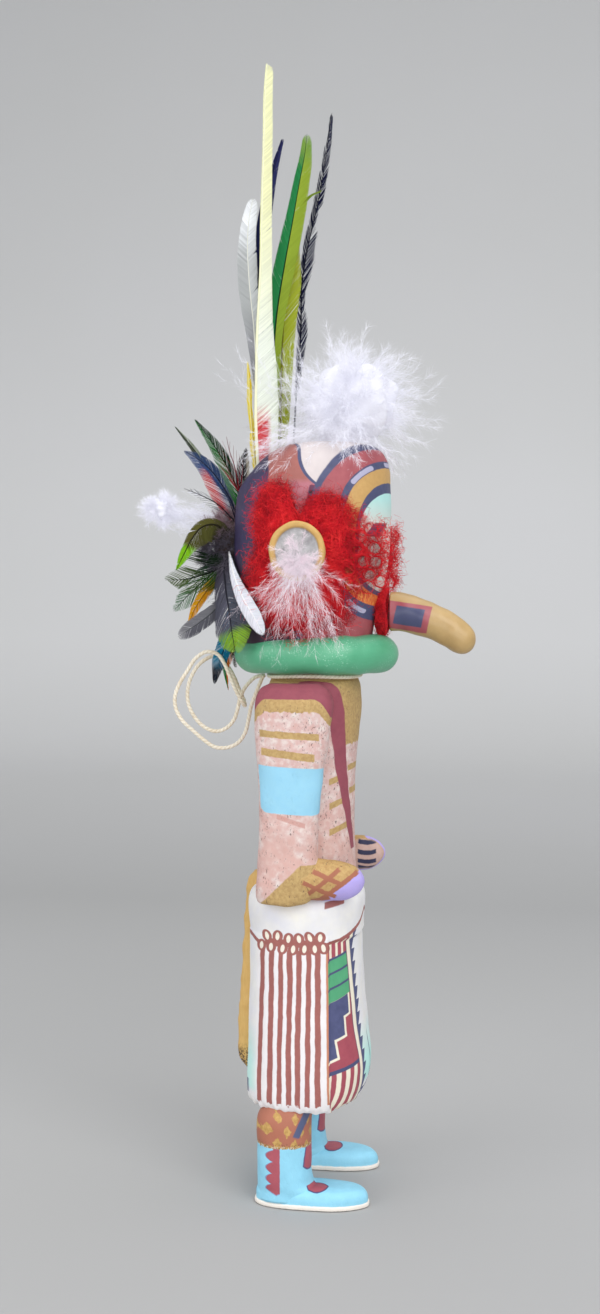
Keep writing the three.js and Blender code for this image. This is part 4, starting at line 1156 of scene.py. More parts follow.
def plumeParts(rng, starts, aims, lengths, barbs, barbLong, curl, droop, thick=0.036, splay=0.9, faces=None):
    # down feathers: a soft shaft with fine barbs all along and round it. tip runs from root to end of each.
    shafts = wander(rng, starts, aims, lengths, 9, curl, droop)
    shade = rng.uniform(0, 1, len(starts))[:, None]
    parts = [strandPart(rng, shafts, thick * 1.3, {"tip": np.linspace(0, 1, 9)[None], "shade": shade},
                        0.25, faces)]
    count = len(starts)
    at = rng.uniform(0.04, 1, (count, barbs)) ** 0.85 * 7.99
    low = at.astype(int)
    part = (at - low)[..., None]
    pick = np.arange(count)[:, None]
    spot = shafts[pick, low] * (1 - part) + shafts[pick, low + 1] * part
    ahead = unit(shafts[pick, low + 1] - shafts[pick, low])
    sideways = unit(np.cross(ahead, rng.normal(size=ahead.shape)))
    aim = unit(ahead + sideways * splay * rng.uniform(0.4, 1.3, (count, barbs, 1)))
    long = barbLong * (1.15 - 0.5 * at / 8) * rng.uniform(0.6, 1.2, (count, barbs))
    paths = wander(rng, spot.reshape(-1, 3), aim.reshape(-1, 3), long.ravel(), 3, curl * 1.2, droop * 0.4)
    tip = np.clip(at.ravel()[:, None] / 8 + np.linspace(0, 0.25, 3)[None], 0, 1)
    glint = np.clip(np.repeat(shade[:, 0], barbs) + rng.uniform(-0.3, 0.3, count * barbs), 0, 1)[:, None]
    facing = None if faces is None else np.repeat(np.broadcast_to(faces, (count, 3)), barbs, 0)
    parts.append(strandPart(rng, paths, thick, {"tip": tip, "shade": glint}, 0.3, facing))
    return parts


# Feathers. right and left are the vanes' widths in mm, at even steps from the vane's start to its tip.

upright = (-1.0, 0.0, 0.0)
feathers = {
    "crown_feather_cream": {
        "path": [(-8, 18.8, 262.5), (-8, 19.9, 284.8), (-8, 19.7, 305.2), (-8, 19.3, 320.5),
                 (-7.8, 18.2, 340.5),
                 (-7.6, 17.5, 371.4), (-7.2, 16.9, 392), (-7, 16.4, 410), (-7, 15.8, 417.4)],
        "vane": 0.02, "right": (6.2, 8.2, 8.6, 7.4, 6.0, 5.0, 4.2, 3.9, 3.7, 3.4, 3.2, 2.9, 2.4),
        "left": (0.6, 0.7, 0.5, 0.6, 0.4, 0.5, 0.7, 0.5, 0.5, 0.7, 0.5), "sweep": 0.9, "ragged": 0.03,
        "colour": ((0.88, 0.90, 0.85), (0.93, 0.93, 0.72)), "shaft": (0.93, 0.93, 0.80), "thick": 0.5,
        "bands": [(0.0, 0.15, 0.05, (0.80, 0.26, 0.28), "inner"), (0.5, 1.0, 0.35, (0.90, 0.90, 0.72), "both")],
    },
    "crown_feather_navy": {
        "path": [(2.5, 19.5, 264.1), (2.5, 20.6, 301.2), (2.5, 21.2, 327.7), (2.5, 20.8, 345.9),
                 (2.5, 19.1, 361.8), (2.5, 16.2, 375.6), (2.5, 13.7, 385), (2.5, 11.6, 392.1)],
        "vane": 0.2, "right": (0.8, 1.8, 2.6, 3.0, 3.3, 3.1, 1.9, 0.6),
        "left": (0.4, 1.4, 2.2, 2.2, 2.2, 1.8, 0.4),
        "sweep": 1.2, "ragged": 0.03, "colour": ((0.16, 0.17, 0.33), (0.12, 0.13, 0.28)),
        "shaft": (0.10, 0.10, 0.18), "thick": 0.4, "bands": [],
    },
    "crown_feather_green": {
        "path": [(-3.4, 14.6, 262.8), (-3.4, 14.6, 292.7), (-3.4, 12.9, 324.1), (-3.4, 9.4, 345.7),
                 (-3.4, 7.1, 357.9), (-3.4, 4.2, 374), (-3.4, 2.3, 383.9), (-3.4, 1.4, 391.6)],
        "vane": 0.2, "right": (1.6, 2.6, 2.8, 3.4, 4.0, 4.5, 4.3, 3.6, 1.6),
        "left": (0.4, 1.4, 3.4, 4.4, 3.8, 2.8, 2.2, 1.4),
        "sweep": 1.4, "ragged": 0.02, "colour": ((0.53, 0.61, 0.20), (0.15, 0.47, 0.26)),
        "shaft": (0.08, 0.20, 0.12), "thick": 0.35, "bands": [(0.93, 1.0, 0.06, (0.44, 0.57, 0.25), "both")],
    },
    "crown_feather_lime": {
        "path": [(-0.4, 12.1, 263), (-0.4, 11.7, 293.1), (-0.4, 10.6, 323.1), (-0.4, 8.7, 341.8),
                 (-0.4, 6.8, 356.1), (-0.4, 4.5, 364.6), (-0.4, 0.7, 369.3), (-0.4, -3.8, 371.2)],
        "vane": 0.12, "right": (2.4, 3.6, 4.0, 4.4, 5.0, 5.2, 3.0, 1.2, 0.3),
        "left": (2.6, 4.0, 4.0, 3.2, 2.4, 1.6, 0.8, 0.1),
        "sweep": 1.5, "ragged": 0.03, "colour": ((0.60, 0.64, 0.19), (0.52, 0.56, 0.14)),
        "shaft": (0.44, 0.44, 0.14), "thick": 0.35, "bands": [(0.9, 1.0, 0.08, (0.46, 0.58, 0.17), "both")],
    },
    "crown_feather_black": {
        "path": [(2.6, 8, 263.2), (2.6, 6.5, 293.4), (2.6, 4.6, 319.7), (2.6, 4.2, 336.3), (2.6, 1.9, 351.3),
                 (2.6, -0.4, 361), (2.6, -3.1, 373.4), (2.6, -5, 385.3), (2.6, -7.2, 401)],
        "vane": 0.24, "right": (1.2, 1.8, 2.6, 1.3, 2.8, 1.8, 1.4, 1.3, 1.1, 0.5),
        "left": (0.8, 1.0, 1.4, 1.3, 1.5, 1.5, 1.3, 1.1, 0.9, 0.4),
        "sweep": 2.2, "ragged": 0.4, "split": 0.55, "colour": ((0.08, 0.09, 0.20), (0.05, 0.06, 0.15)),
        "shaft": (0.08, 0.08, 0.13), "thick": 0.35, "bands": [(0.2, 0.4, 0.2, (0.42, 0.42, 0.50), "edge")],
    },
    "crown_feather_grey": {
        "path": [(-0.4, 20.5, 258), (-0.4, 20.5, 278.2), (-0.4, 20.9, 299.3), (-0.4, 22, 319.7),
                 (-0.4, 23.9, 338.6), (-0.4, 24.5, 353.7), (-0.4, 23.9, 362), (-0.4, 22.4, 369.3)],
        "vane": 0.34, "right": (1.2, 2.4, 2.8, 3.0, 3.2, 3.3, 3.2, 2.2),
        "left": (0.8, 2.0, 3.0, 4.0, 4.2, 3.8, 3.0, 1.6),
        "sweep": 1.0, "ragged": 0.05, "colour": ((0.78, 0.79, 0.79), (0.68, 0.69, 0.69)),
        "shaft": (0.90, 0.90, 0.86), "thick": 0.4, "down": 130, "downColour": (0.86, 0.86, 0.86),
        "bands": [(0.86, 1.0, 0.12, (0.93, 0.94, 0.95), "both"), (0.3, 0.56, 0.14, (0.62, 0.62, 0.64), "both")],
    },
    "crown_feather_yellow": {
        "path": [(-4.2, 20.2, 262.1), (-4.2, 21.9, 277.8), (-4.2, 22.7, 289), (-4.2, 23.2, 298.4),
                 (-4.2, 23.8, 307)],
        "vane": 0.1, "right": (0.6, 0.9, 1.2, 0.6, 1.2, 0.3), "left": (0.7, 1.2, 0.8, 1.4, 0.8, 0.2),
        "sweep": 1.6, "ragged": 0.2, "split": 0.8, "colour": ((0.86, 0.76, 0.16), (0.90, 0.82, 0.22)),
        "shaft": (0.93, 0.88, 0.60), "thick": 0.35, "bands": [],
    },
    "fan_feather_green_upright": {
        "path": [(-1, 27, 245), (-2.5, 27.2, 256.6), (-4, 30.8, 266.2), (-5, 37.2, 277), (-6, 43.6, 285.7)],
        "vane": 0.22, "right": (1.6, 2.6, 2.8, 2.6, 2.2, 1.4, 0.3), "left": (2.4, 3.4, 3.4, 2.8, 2.2, 1.4, 0.2),
        "sweep": 2.4, "ragged": 0.1, "split": 0.25, "colour": ((0.05, 0.19, 0.07), (0.11, 0.36, 0.14)),
        "shaft": (0.05, 0.16, 0.08), "thick": 0.35,
        "bands": [(0.0, 0.55, 0.3, (0.03, 0.08, 0.05), "right"), (0.3, 0.6, 0.2, (0.34, 0.48, 0.36), "edge")],
    },
    "fan_feather_olive_thin": {
        "path": [(0.6, 28, 246), (1.2, 32, 256), (2, 39.5, 266.6), (3, 46.7, 276.3), (3, 53.3, 284.2)],
        "vane": 0.3, "right": (0.7, 1.3, 1.3, 1.0, 0.2), "left": (0.6, 1.1, 1.3, 0.9, 0.2),
        "sweep": 2.6, "ragged": 0.1, "colour": ((0.50, 0.53, 0.46), (0.26, 0.29, 0.24)),
        "shaft": (0.12, 0.13, 0.10), "thick": 0.3, "bands": [],
    },
    "fan_feather_blue_and_red": {
        "path": [(-0.6, 27, 243), (-0.6, 29, 251.1), (-0.6, 33, 259.3), (-0.6, 38.2, 266.6),
                 (-0.6, 43.7, 271.4), (-0.6, 49, 274.4)],
        "vane": 0.16, "right": (1.4, 2.6, 3.0, 3.0, 2.8, 2.2, 0.2), "left": (3.0, 5.4, 6.4, 5.8, 4.2, 2.6, 0.3),
        "sweep": 1.8, "ragged": 0.06, "split": 0.35, "colour": ((0.20, 0.27, 0.41), (0.21, 0.29, 0.46)),
        "shaft": (0.14, 0.16, 0.24), "thick": 0.4, "down": 120, "downColour": (0.62, 0.52, 0.54),
        "bands": [(0.0, 0.35, 0.3, (0.34, 0.30, 0.35), "both"), (0.1, 0.72, 0.12, (0.72, 0.24, 0.25), "edge")],
    },
    "fan_feather_red_wisp": {
        "path": [(-5.4, 26.5, 258), (-5.6, 28.5, 268), (-6, 30.4, 274), (-6, 31.5, 279)],
        "vane": 0.3, "right": (2.0, 3.4, 2.4, 0.2), "left": (2.0, 3.6, 2.6, 0.2), "barbs": 0.6,
        "sweep": 3.4, "ragged": 0.4, "split": 1.5, "colour": ((0.46, 0.08, 0.14), (0.52, 0.10, 0.17)),
        "shaft": (0.40, 0.08, 0.12), "thick": 0.2, "bands": [],
    },
    "fan_feather_black_upright": {
        "path": [(0.5, 25.6, 247), (1, 25, 255), (1, 26.2, 264.1), (1.5, 26.4, 270.2), (2, 25.2, 275.4)],
        "vane": 0.2, "right": (1.6, 2.8, 2.8, 2.2, 0.6), "left": (1.4, 2.6, 2.6, 2.0, 0.5),
        "sweep": 1.6, "ragged": 0.2, "split": 0.4, "colour": ((0.10, 0.09, 0.11), (0.06, 0.06, 0.08)),
        "shaft": (0.06, 0.06, 0.08), "thick": 0.35, "bands": [(0.2, 0.9, 0.2, (0.62, 0.58, 0.50), "rightEdge")],
    },
    "fan_feather_dark_barbed": {
        "path": [(-3.2, 28.4, 247), (-4, 36, 254.4), (-4, 42.8, 257.8), (-5, 48, 259.9)],
        "vane": 0.3, "right": (3.0, 3.4, 2.0, 0.2), "left": (1.2, 2.0, 1.2, 0.1), "barbs": 0.8,
        "sweep": 3.2, "ragged": 0.4, "split": 1.0, "colour": ((0.09, 0.10, 0.17), (0.09, 0.10, 0.15)),
        "shaft": (0.10, 0.10, 0.13), "thick": 0.25, "bands": [],
    },
    "fan_feather_olive_drooping": {
        "path": [(-6.4, 28.4, 238.3), (-8, 31.4, 243.5), (-10, 35.6, 246), (-11.5, 39.6, 245), (-12.4, 43, 241),
                 (-13, 45.8, 235.6), (-13, 49.1, 229)],
        "vane": 0.08, "right": (1.0, 2.0, 2.4, 2.6, 2.4, 1.8, 1.4, 0.2),
        "left": (3.0, 5.4, 6.2, 6.4, 5.4, 3.0, 1.8, 0.3),
        "sweep": 1.0, "ragged": 0.05, "split": 0.3, "colour": ((0.32, 0.31, 0.15), (0.27, 0.27, 0.12)),
        "shaft": (0.14, 0.13, 0.08), "thick": 0.4,
        "bands": [(0.0, 0.25, 0.2, (0.17, 0.16, 0.14), "both"), (0.72, 1.0, 0.06, (0.44, 0.66, 0.10), "both")],
    },
    "fan_feather_green_barbed": {
        "path": [(-6, 28.5, 233.5), (-8, 33.5, 229.8), (-9, 40, 227.2), (-9, 47, 225.6), (-9, 54.3, 225.4)],
        "vane": 0.14, "right": (5.0, 7.4, 7.0, 5.4, 1.6), "left": (3.2, 5.2, 5.0, 3.6, 1.2), "barbs": 3.6,
        "sweep": 1.7, "ragged": 0.28, "split": 0.9, "colour": ((0.06, 0.13, 0.06), (0.13, 0.24, 0.07)),
        "shaft": (0.06, 0.07, 0.06), "thick": 0.3, "bands": [(0.6, 1.0, 0.3, (0.30, 0.36, 0.22), "both")],
    },
    "fan_feather_yellow_low": {
        "path": [(0, 28.4, 234), (0, 35, 228.4), (0.4, 40.2, 221.6), (1, 45.1, 214.6), (1, 48, 207.9)],
        "vane": 0.2, "right": (1.0, 2.0, 2.2, 1.7, 0.3), "left": (1.0, 1.9, 2.1, 1.5, 0.3),
        "sweep": 1.6, "ragged": 0.1, "colour": ((0.84, 0.60, 0.10), (0.80, 0.54, 0.08)),
        "shaft": (0.60, 0.42, 0.10), "thick": 0.35, "bands": [(0.0, 0.4, 0.2, (0.24, 0.46, 0.20), "both")],
    },
    "fan_feather_green_low": {
        "path": [(1, 29, 234), (2, 34.5, 231), (3, 41.2, 226), (4, 47.7, 220.4), (4, 54.2, 213.6)],
        "vane": 0.2, "right": (2.8, 4.6, 5.0, 4.0, 1.0), "left": (3.0, 5.0, 5.4, 4.2, 1.0), "barbs": 3.8,
        "sweep": 2.2, "ragged": 0.26, "split": 0.7, "colour": ((0.05, 0.25, 0.09), (0.08, 0.35, 0.11)),
        "shaft": (0.05, 0.12, 0.06), "thick": 0.3, "bands": [(0.65, 1.0, 0.3, (0.28, 0.44, 0.28), "both")],
    },
    "fan_feather_grey_low": {
        "path": [(-4, 29, 229), (-5, 31.6, 220.6), (-7, 36.6, 213.4), (-8, 42.3, 208.9), (-9, 49.3, 204.1)],
        "vane": 0.3, "right": (1.4, 2.4, 3.0, 3.0, 2.2), "left": (1.4, 2.8, 3.4, 3.2, 2.4),
        "sweep": 1.1, "ragged": 0.06, "split": 0.25, "colour": ((0.43, 0.43, 0.45), (0.34, 0.34, 0.37)),
        "shaft": (0.30, 0.31, 0.32), "thick": 0.3, "down": 40, "downColour": (0.48, 0.47, 0.48), "bands": [],
    },
    "fan_feather_teal_and_black": {
        "path": [(-1, 29, 229), (-1.6, 29.8, 215), (-2.2, 31.8, 203.4), (-2.6, 35, 194.2), (-2.8, 36.9, 186.2)],
        "vane": 0.3, "right": (1.6, 3.0, 3.4, 2.8, 0.5), "left": (1.6, 2.8, 3.2, 2.4, 0.5),
        "sweep": 1.3, "ragged": 0.08, "colour": ((0.07, 0.45, 0.58), (0.05, 0.40, 0.53)),
        "shaft": (0.06, 0.18, 0.24), "thick": 0.35,
        "bands": [(0.84, 1.0, 0.08, (0.05, 0.05, 0.10), "both"), (0.2, 0.6, 0.2, (0.22, 0.16, 0.06), "edge")],
    },
    "fan_feather_orange_and_green": {
        "path": [(1.4, 28.6, 229), (2, 29, 214), (2.4, 31, 200.8), (2.6, 33.4, 193.2), (2.8, 32.6, 183.7)],
        "vane": 0.4, "right": (0.9, 1.7, 1.7, 1.2, 0.1), "left": (1.0, 1.9, 1.9, 1.0, 0.1),
        "sweep": 2.0, "ragged": 0.15, "split": 1.0, "colour": ((0.10, 0.48, 0.18), (0.84, 0.44, 0.10)),
        "shaft": (0.10, 0.34, 0.14), "thick": 0.3, "bands": [],
    },
    "fan_feather_dark_small": {
        "path": [(-4, 28.4, 229), (-5.6, 27.2, 217.9), (-5.6, 28.2, 204), (-5.6, 28.9, 198),
                 (-5.6, 28.3, 192.8)],
        "vane": 0.4, "right": (1.0, 2.1, 2.4, 1.7, 0.3), "left": (1.0, 2.0, 2.2, 1.4, 0.3),
        "sweep": 2.0, "ragged": 0.3, "split": 1.2, "colour": ((0.24, 0.23, 0.16), (0.17, 0.17, 0.13)),
        "shaft": (0.10, 0.10, 0.08), "thick": 0.3, "bands": [],
    },
    "fan_feather_grey_and_lime": {
        "path": [(-6.4, 30.6, 234.4), (-10, 31.2, 231), (-15, 30, 223), (-20, 27.8, 214.6), (-23, 26, 206),
                 (-24.4, 24.4, 198.6)],
        "face": (-0.85, 0.52, 0.0),
        "vane": 0.06, "right": (3.2, 6.4, 8.6, 10.2, 11.4, 11.8, 8.6),
        "left": (3.0, 5.6, 7.2, 8.2, 8.8, 9.0, 6.4),
        "sweep": 0.7, "ragged": 0.05, "split": 0.5, "colour": ((0.33, 0.33, 0.38), (0.29, 0.30, 0.34)),
        "shaft": (0.14, 0.14, 0.17), "thick": 0.45, "down": 90, "downColour": (0.40, 0.38, 0.42), "cup": 0.05,
        "bands": [(0.0, 0.3, 0.3, (0.22, 0.20, 0.24), "both"), (0.80, 1.0, 0.07, (0.50, 0.66, 0.20), "both")],
    },
    "fan_feather_white_side": {
        "path": [(-9, 29.9, 235.8), (-17, 26.5, 227.1), (-26, 21.4, 218.6), (-31, 16.5, 211.8),
                 (-33, 12.5, 205.6)],
        "face": (-0.8, 0.58, 0.15),
        "vane": 0.05, "right": (0.8, 1.8, 2.7, 3.3, 3.7, 3.6, 2.3), "left": (0.6, 1.4, 2.2, 2.8, 3.2, 3.2, 2.0),
        "sweep": 0.8, "ragged": 0.03, "split": 0.3, "colour": ((0.92, 0.92, 0.95), (0.89, 0.90, 0.93)),
        "shaft": (0.96, 0.96, 0.96), "thick": 0.4, "cup": 0.05, "bands": [],
    },
    "fan_feather_puff_stalk": {
        "path": [(1, 28, 240.5), (2.4, 33, 242), (4, 40, 245.4), (5, 50, 250.5), (5, 60, 252.5)],
        "vane": 0.3, "right": (0.5, 1.0, 1.6, 1.2), "left": (0.5, 1.0, 1.6, 1.2), "barbs": 1.0,
        "sweep": 1.2, "ragged": 0.3, "split": 1.5, "colour": ((0.93, 0.93, 0.94), (0.92, 0.92, 0.94)),
        "shaft": (0.90, 0.90, 0.88), "thick": 0.4, "down": 160, "downColour": (0.92, 0.92, 0.94), "bands": [],
    },
}


def featherPaint(name, look):
    paint = Paint(name + "_paint", 0.6, Specular_IOR_Level=0.04)
    along, out = paint.attribute("along"), paint.attribute("out")
    shade, downy = paint.attribute("shade"), paint.attribute("downy")
    colour = paint.mix(out.above(0.0, 0.06), look["colour"][1], look["colour"][0])
    where = {"both": paint.number(1.0), "right": out.above(0.0, 0.1), "left": out.below(0.0, 0.1),
             "edge": out.below(-0.45, 0.3), "rightEdge": out.above(0.55, 0.2),
             "inner": out.between(0.0, 0.6, 0.2)}
    shaken = along + shade * 0.03 - 0.015
    for low, high, soft, tint, side in look["bands"]:
        amount = paint.number(1.0) if low <= 0 else shaken.above(low, soft)
        if high < 1:
            amount = amount * shaken.below(high, soft)
        colour = paint.mix(amount * where[side], colour, tint)
    colour = paint.shade(colour, shade * 0.24 + 0.88)
    colour = paint.mix(abs(out).below(0.015, 0.01), colour, look["shaft"])
    colour = paint.mix(downy, colour, look.get("downColour", look["shaft"]))
    return paint.finish(colour, shade * -0.2 + 0.62)


def featherParts(look, rng):
    fine = smoothRows(look["path"], 200)
    step = np.linalg.norm(np.diff(fine, axis=0), axis=1)
    at = np.concatenate([[0], np.cumsum(step)])
    long = at[-1]
    at /= long
    tangent = unit(np.gradient(fine, axis=0))
    wide = unit(np.cross(tangent, np.array(look.get("face", upright))))
    flat = np.cross(wide, tangent)

    def along(grid, where):
        return np.stack([np.interp(where, at, grid[:, i]) for i in range(3)], -1)
    thick = look["thick"] * (1.05 - at) ** 0.8 + 0.04
    shaft = carried(fine, flat[100], thick, thick * 0.8, 8)
    zero = np.zeros(shaft.shape[:2])
    values = {"along": zero + at[:, None], "out": zero, "shade": zero + 0.5, "downy": zero}
    parts = [closedPart(shaft, values)]
    share = np.linspace(0, 1, 6)[None]
    vane = look["vane"]
    dense = look.get("barbs", 4.2)
    for side, key in ((1, "right"), (-1, "left")):
        count = max(6, int(dense * long * (1 - vane)))
        end = np.linspace(vane, 1, count)
        reach = np.interp(end, np.linspace(vane, 1, len(look[key])), look[key])
        smoothing = np.ones(max(1, count // 18))
        reach = np.convolve(np.pad(reach, len(smoothing), mode="edge"), smoothing / smoothing.sum(), "same")
        reach = reach[len(smoothing):-len(smoothing)]
        # a blunt end is rounded off over its own width
        left = np.clip((1 - end) * long / (1.6 * reach + 0.1), 0, 1)
        reach *= np.sqrt(1 - (1 - left) ** 2)
        clump = np.cumsum(rng.uniform(size=count) < 0.05)
        reach *= 1 + look["ragged"] * (rng.normal(size=count) * 0.25
                                       + rng.normal(size=clump[-1] + 1)[clump] * 0.5)
        apart = rng.normal(size=clump[-1] + 1)[clump] * look.get("split", 0.25) / long
        start = np.clip(end - look["sweep"] * reach / long, 0.001, 1)
        where = start[:, None] + (end - start)[:, None] * share ** 1.15 + apart[:, None] * share ** 2
        where = np.clip(where, 0, 1)
        out = reach[:, None] * share
        lift = look.get("cup", 0.03) * out ** 2 / 2 + 0.05 * rng.normal(size=(count, 1)) * share
        paths = along(fine, where) + along(wide, where) * (side * out)[..., None] \
            - along(flat, where) * lift[..., None]
        spacing = 0.5 / dense if dense > 2 else 0.13
        half = spacing * (1.3 - 0.65 * share ** 5) * (1 + 0.35 * share)
        shade = rng.uniform(0, 1, (count, 1))
        parts.append(ribbonPart(paths, along(tangent, where) * side, half, {
            "along": where, "out": side * np.maximum(share, 0.03), "shade": shade, "downy": np.zeros((1, 1))}))
    loose = look.get("down", 0)
    if loose:
        root = rng.uniform(0.02, vane + 0.1, loose * 2)
        side = rng.choice([-1, 1], loose * 2)[:, None]
        aim = unit(along(wide, root) * side + along(tangent, root) * 0.5
                   + rng.normal(size=(loose * 2, 3)) * 0.35)
        paths = wander(rng, along(fine, root), aim, rng.uniform(2.5, 6.5, loose * 2), 6, 0.3, 0.15)
        parts.append(strandPart(rng, paths, 0.07, {
            "along": root[:, None], "out": side * 0.5, "shade": rng.uniform(0, 1, (loose * 2, 1)),
            "downy": np.ones((1, 1))}))
    return parts


def makeFeathers():
    slots = {"cream": "pale_feather", "white_side": "pale_feather", "feather_grey": "pale_feather",
             "puff_stalk": "pale_feather", "navy": "dark_feather", "black_upright": "dark_feather",
             "feather_black": "dark_feather", "dark": "dark_feather", "grey_": "dark_feather",
             "green_": "green_feather", "feather_green": "green_feather", "olive": "green_feather",
             "lime": "green_feather"}
    for number, (name, look) in enumerate(feathers.items()):
        slot = next((slots[key] for key in slots if key in name), "coloured_feather")
        if name == "fan_feather_grey_and_lime":
            slot = "dark_feather"
        piece = joined(name + "_barbs", featherParts(look, np.random.default_rng(100 + number)))
        dress(piece, featherPaint(name, look), slot, name)


makeFeathers()
print("feathers")


# Down: crown, puff and ear tufts

down = {
    "crownMiddle": (0.0, -13.6, 291.0), "crownHalf": (21.0, 32.5, 29.0),
    "puffMiddle": (5.0, 59.4, 252.6), "puffHalf": (6.0, 9.0, 7.2),
}


def downPaint(name, core, edge, paintedLight):
    # painted light: the down glows a little in its own colour, for the light scattered through it
    paint = Paint(name, 0.95, Emission_Strength=paintedLight)
    tip, shade = paint.attribute("tip"), paint.attribute("shade")
    colour = paint.mix(tip, core, edge)
    colour = paint.shade(colour, shade * 0.10 + 0.93)
    paint.tree.links.new(colour.socket, paint.shader.inputs["Emission Color"])
    return paint.finish(colour)


def sprayed(rng, count, middle, half, inner=0.12):
    # starts near a lump's middle, the ways out to its surface and how far they go
    aim = unit(rng.normal(size=(count, 3)))
    reach = 1 / np.sqrt(((aim / np.array(half)) ** 2).sum(1))
    start = np.array(middle) + aim * (reach * inner)[:, None]
    return start, aim, reach * (1 - inner)


def lumpPart(middle, half, seed, knobs):
    # a soft lump: an oval ball with its surface rippled
    rows, columns = 40, 64
    tilt = np.linspace(-0.49, 0.49, rows)[:, None] * math.pi
    turn = np.linspace(0, 2 * math.pi, columns, endpoint=False)[None]
    ball = np.stack([np.cos(tilt) * -np.sin(turn), np.cos(tilt) * np.cos(turn),
                     np.sin(tilt) + 0 * turn], -1)
    grown = 1 + 0.12 * ripple(ball * 10, knobs, seed)
    points = np.array(middle) + ball * np.array(half) * grown[..., None]
    shade = np.clip(0.5 + 0.4 * ripple(ball * 10, knobs * 0.6, seed + 1), 0, 1)
    return closedPart(points, {"tip": np.zeros(points.shape[:2]), "shade": shade})


def makeDown():
    rng = np.random.default_rng(7)
    white = downPaint("crownDown", (0.88, 0.88, 0.91), (0.91, 0.91, 0.94), 0.17)
    middle, half = np.array(down["crownMiddle"]), np.array(down["crownHalf"])
    start, aim, reach = sprayed(rng, 300, middle, half)
    long = reach * rng.uniform(0.5, 1.12, len(reach))
    parts = plumeParts(rng, start, aim, long, 104, 7.0, 0.10, 0.03, 0.034)
    # long thin plumes up and back, over the brow, and down the back of the mask
    for count, spot, way, spread, low, high in (
            (34, (0, 7, 285), (0, 0.32, 1.0), 0.20, 20, 36),
            (30, (-12, -15, 279), (-0.8, -0.4, -0.6), 0.4, 10, 18),
            (20, (12, -15, 279), (0.8, -0.4, -0.6), 0.4, 10, 18),
            (60, (-9, -2, 278), (-0.6, 0.75, -0.34), 0.28, 12, 27),
            (20, (9, -2, 278), (0.6, 0.75, -0.34), 0.28, 12, 27)):
        root = np.array(spot) + rng.normal(size=(count, 3)) * (4.0, 5.0, 2.5)
        fall = unit(np.array(way) + rng.normal(size=(count, 3)) * spread)
        parts += plumeParts(rng, root, fall, rng.uniform(low, high, count), 50, 4.6, 0.08, 0.10, 0.036, 0.6)
    parts.append(lumpPart(middle + (0, -1, 0), half * 0.5, 3, 7.0))
    dress(joined("crown_down_plumes", parts), white, "white_down", "crown_down")
    start, aim, reach = sprayed(rng, 110, down["puffMiddle"], down["puffHalf"])
    parts = plumeParts(rng, start, aim, reach * rng.uniform(0.6, 1.15, len(reach)), 90, 3.6, 0.10, 0.03, 0.034)
    tail = np.array([4.4, 54.0, 251.6]) + rng.normal(size=(56, 3)) * (1.6, 3.6, 3.4)
    back = unit(np.array([-0.06, -0.95, -0.16]) + rng.normal(size=(56, 3)) * 0.22)
    parts += plumeParts(rng, tail, back, rng.uniform(8, 18, 56), 70, 3.6, 0.08, 0.02, 0.028)
    parts.append(lumpPart(down["puffMiddle"], np.array(down["puffHalf"]) * 0.55, 5, 6.0))
    dress(joined("fan_puff_plumes", parts), white, "white_down", "fan_puff")


makeDown()
print("down")


# Fan binding, with the soft roots of the feathers round it

def makeBinding():
    rng = np.random.default_rng(17)
    middle = np.array([0.0, 30.0, 238.5])
    turn = np.linspace(-0.49, 0.49, 60)[:, None] * math.pi
    around = np.linspace(0, 2 * math.pi, 80, endpoint=False)[None]
    groove = 0.94 + 0.05 * np.abs(np.sin(turn * 14))
    points = middle + np.stack([np.cos(turn) * np.cos(around) * 8.4 * groove, -np.sin(turn) * 7.0 + 0 * around,
                                np.cos(turn) * np.sin(around) * 9.6 * groove], -1)
    # the binding's shade value follows its grooves, so the grooves are painted a little darker, as painted
    # shade
    parts = [closedPart(points, {"tip": np.zeros((60, 80)), "shade": groove + np.zeros((60, 80)) - 0.5})]
    start, aim, reach = sprayed(rng, 330, middle + (0, 2, 0), (10.5, 12.0, 13.5), 0.5)
    parts += plumeParts(rng, start, aim, reach * rng.uniform(0.7, 1.3, 330), 60, 3.6, 0.12, 0.06, 0.04)
    paint = Paint("softRoots", 0.95)
    tip, shade = paint.attribute("tip"), paint.attribute("shade")
    x, y, z = paint.axes(paint.place(), 1.2, 4.0)
    rosy = (z + y * 0.4).above(257.0, 8.0)
    fuzz = paint.mix(rosy, (0.34, 0.32, 0.37), (0.60, 0.49, 0.52))
    colour = paint.mix(tip.above(0.02, 0.04), (0.25, 0.19, 0.17), fuzz)
    colour = paint.shade(colour, shade * 0.5 + 0.75)
    dress(joined("fan_binding_roots", parts), paint.finish(colour), "binding_thread", "fan_binding")


makeBinding()
print("binding")


# Ears, red wool and white tufts

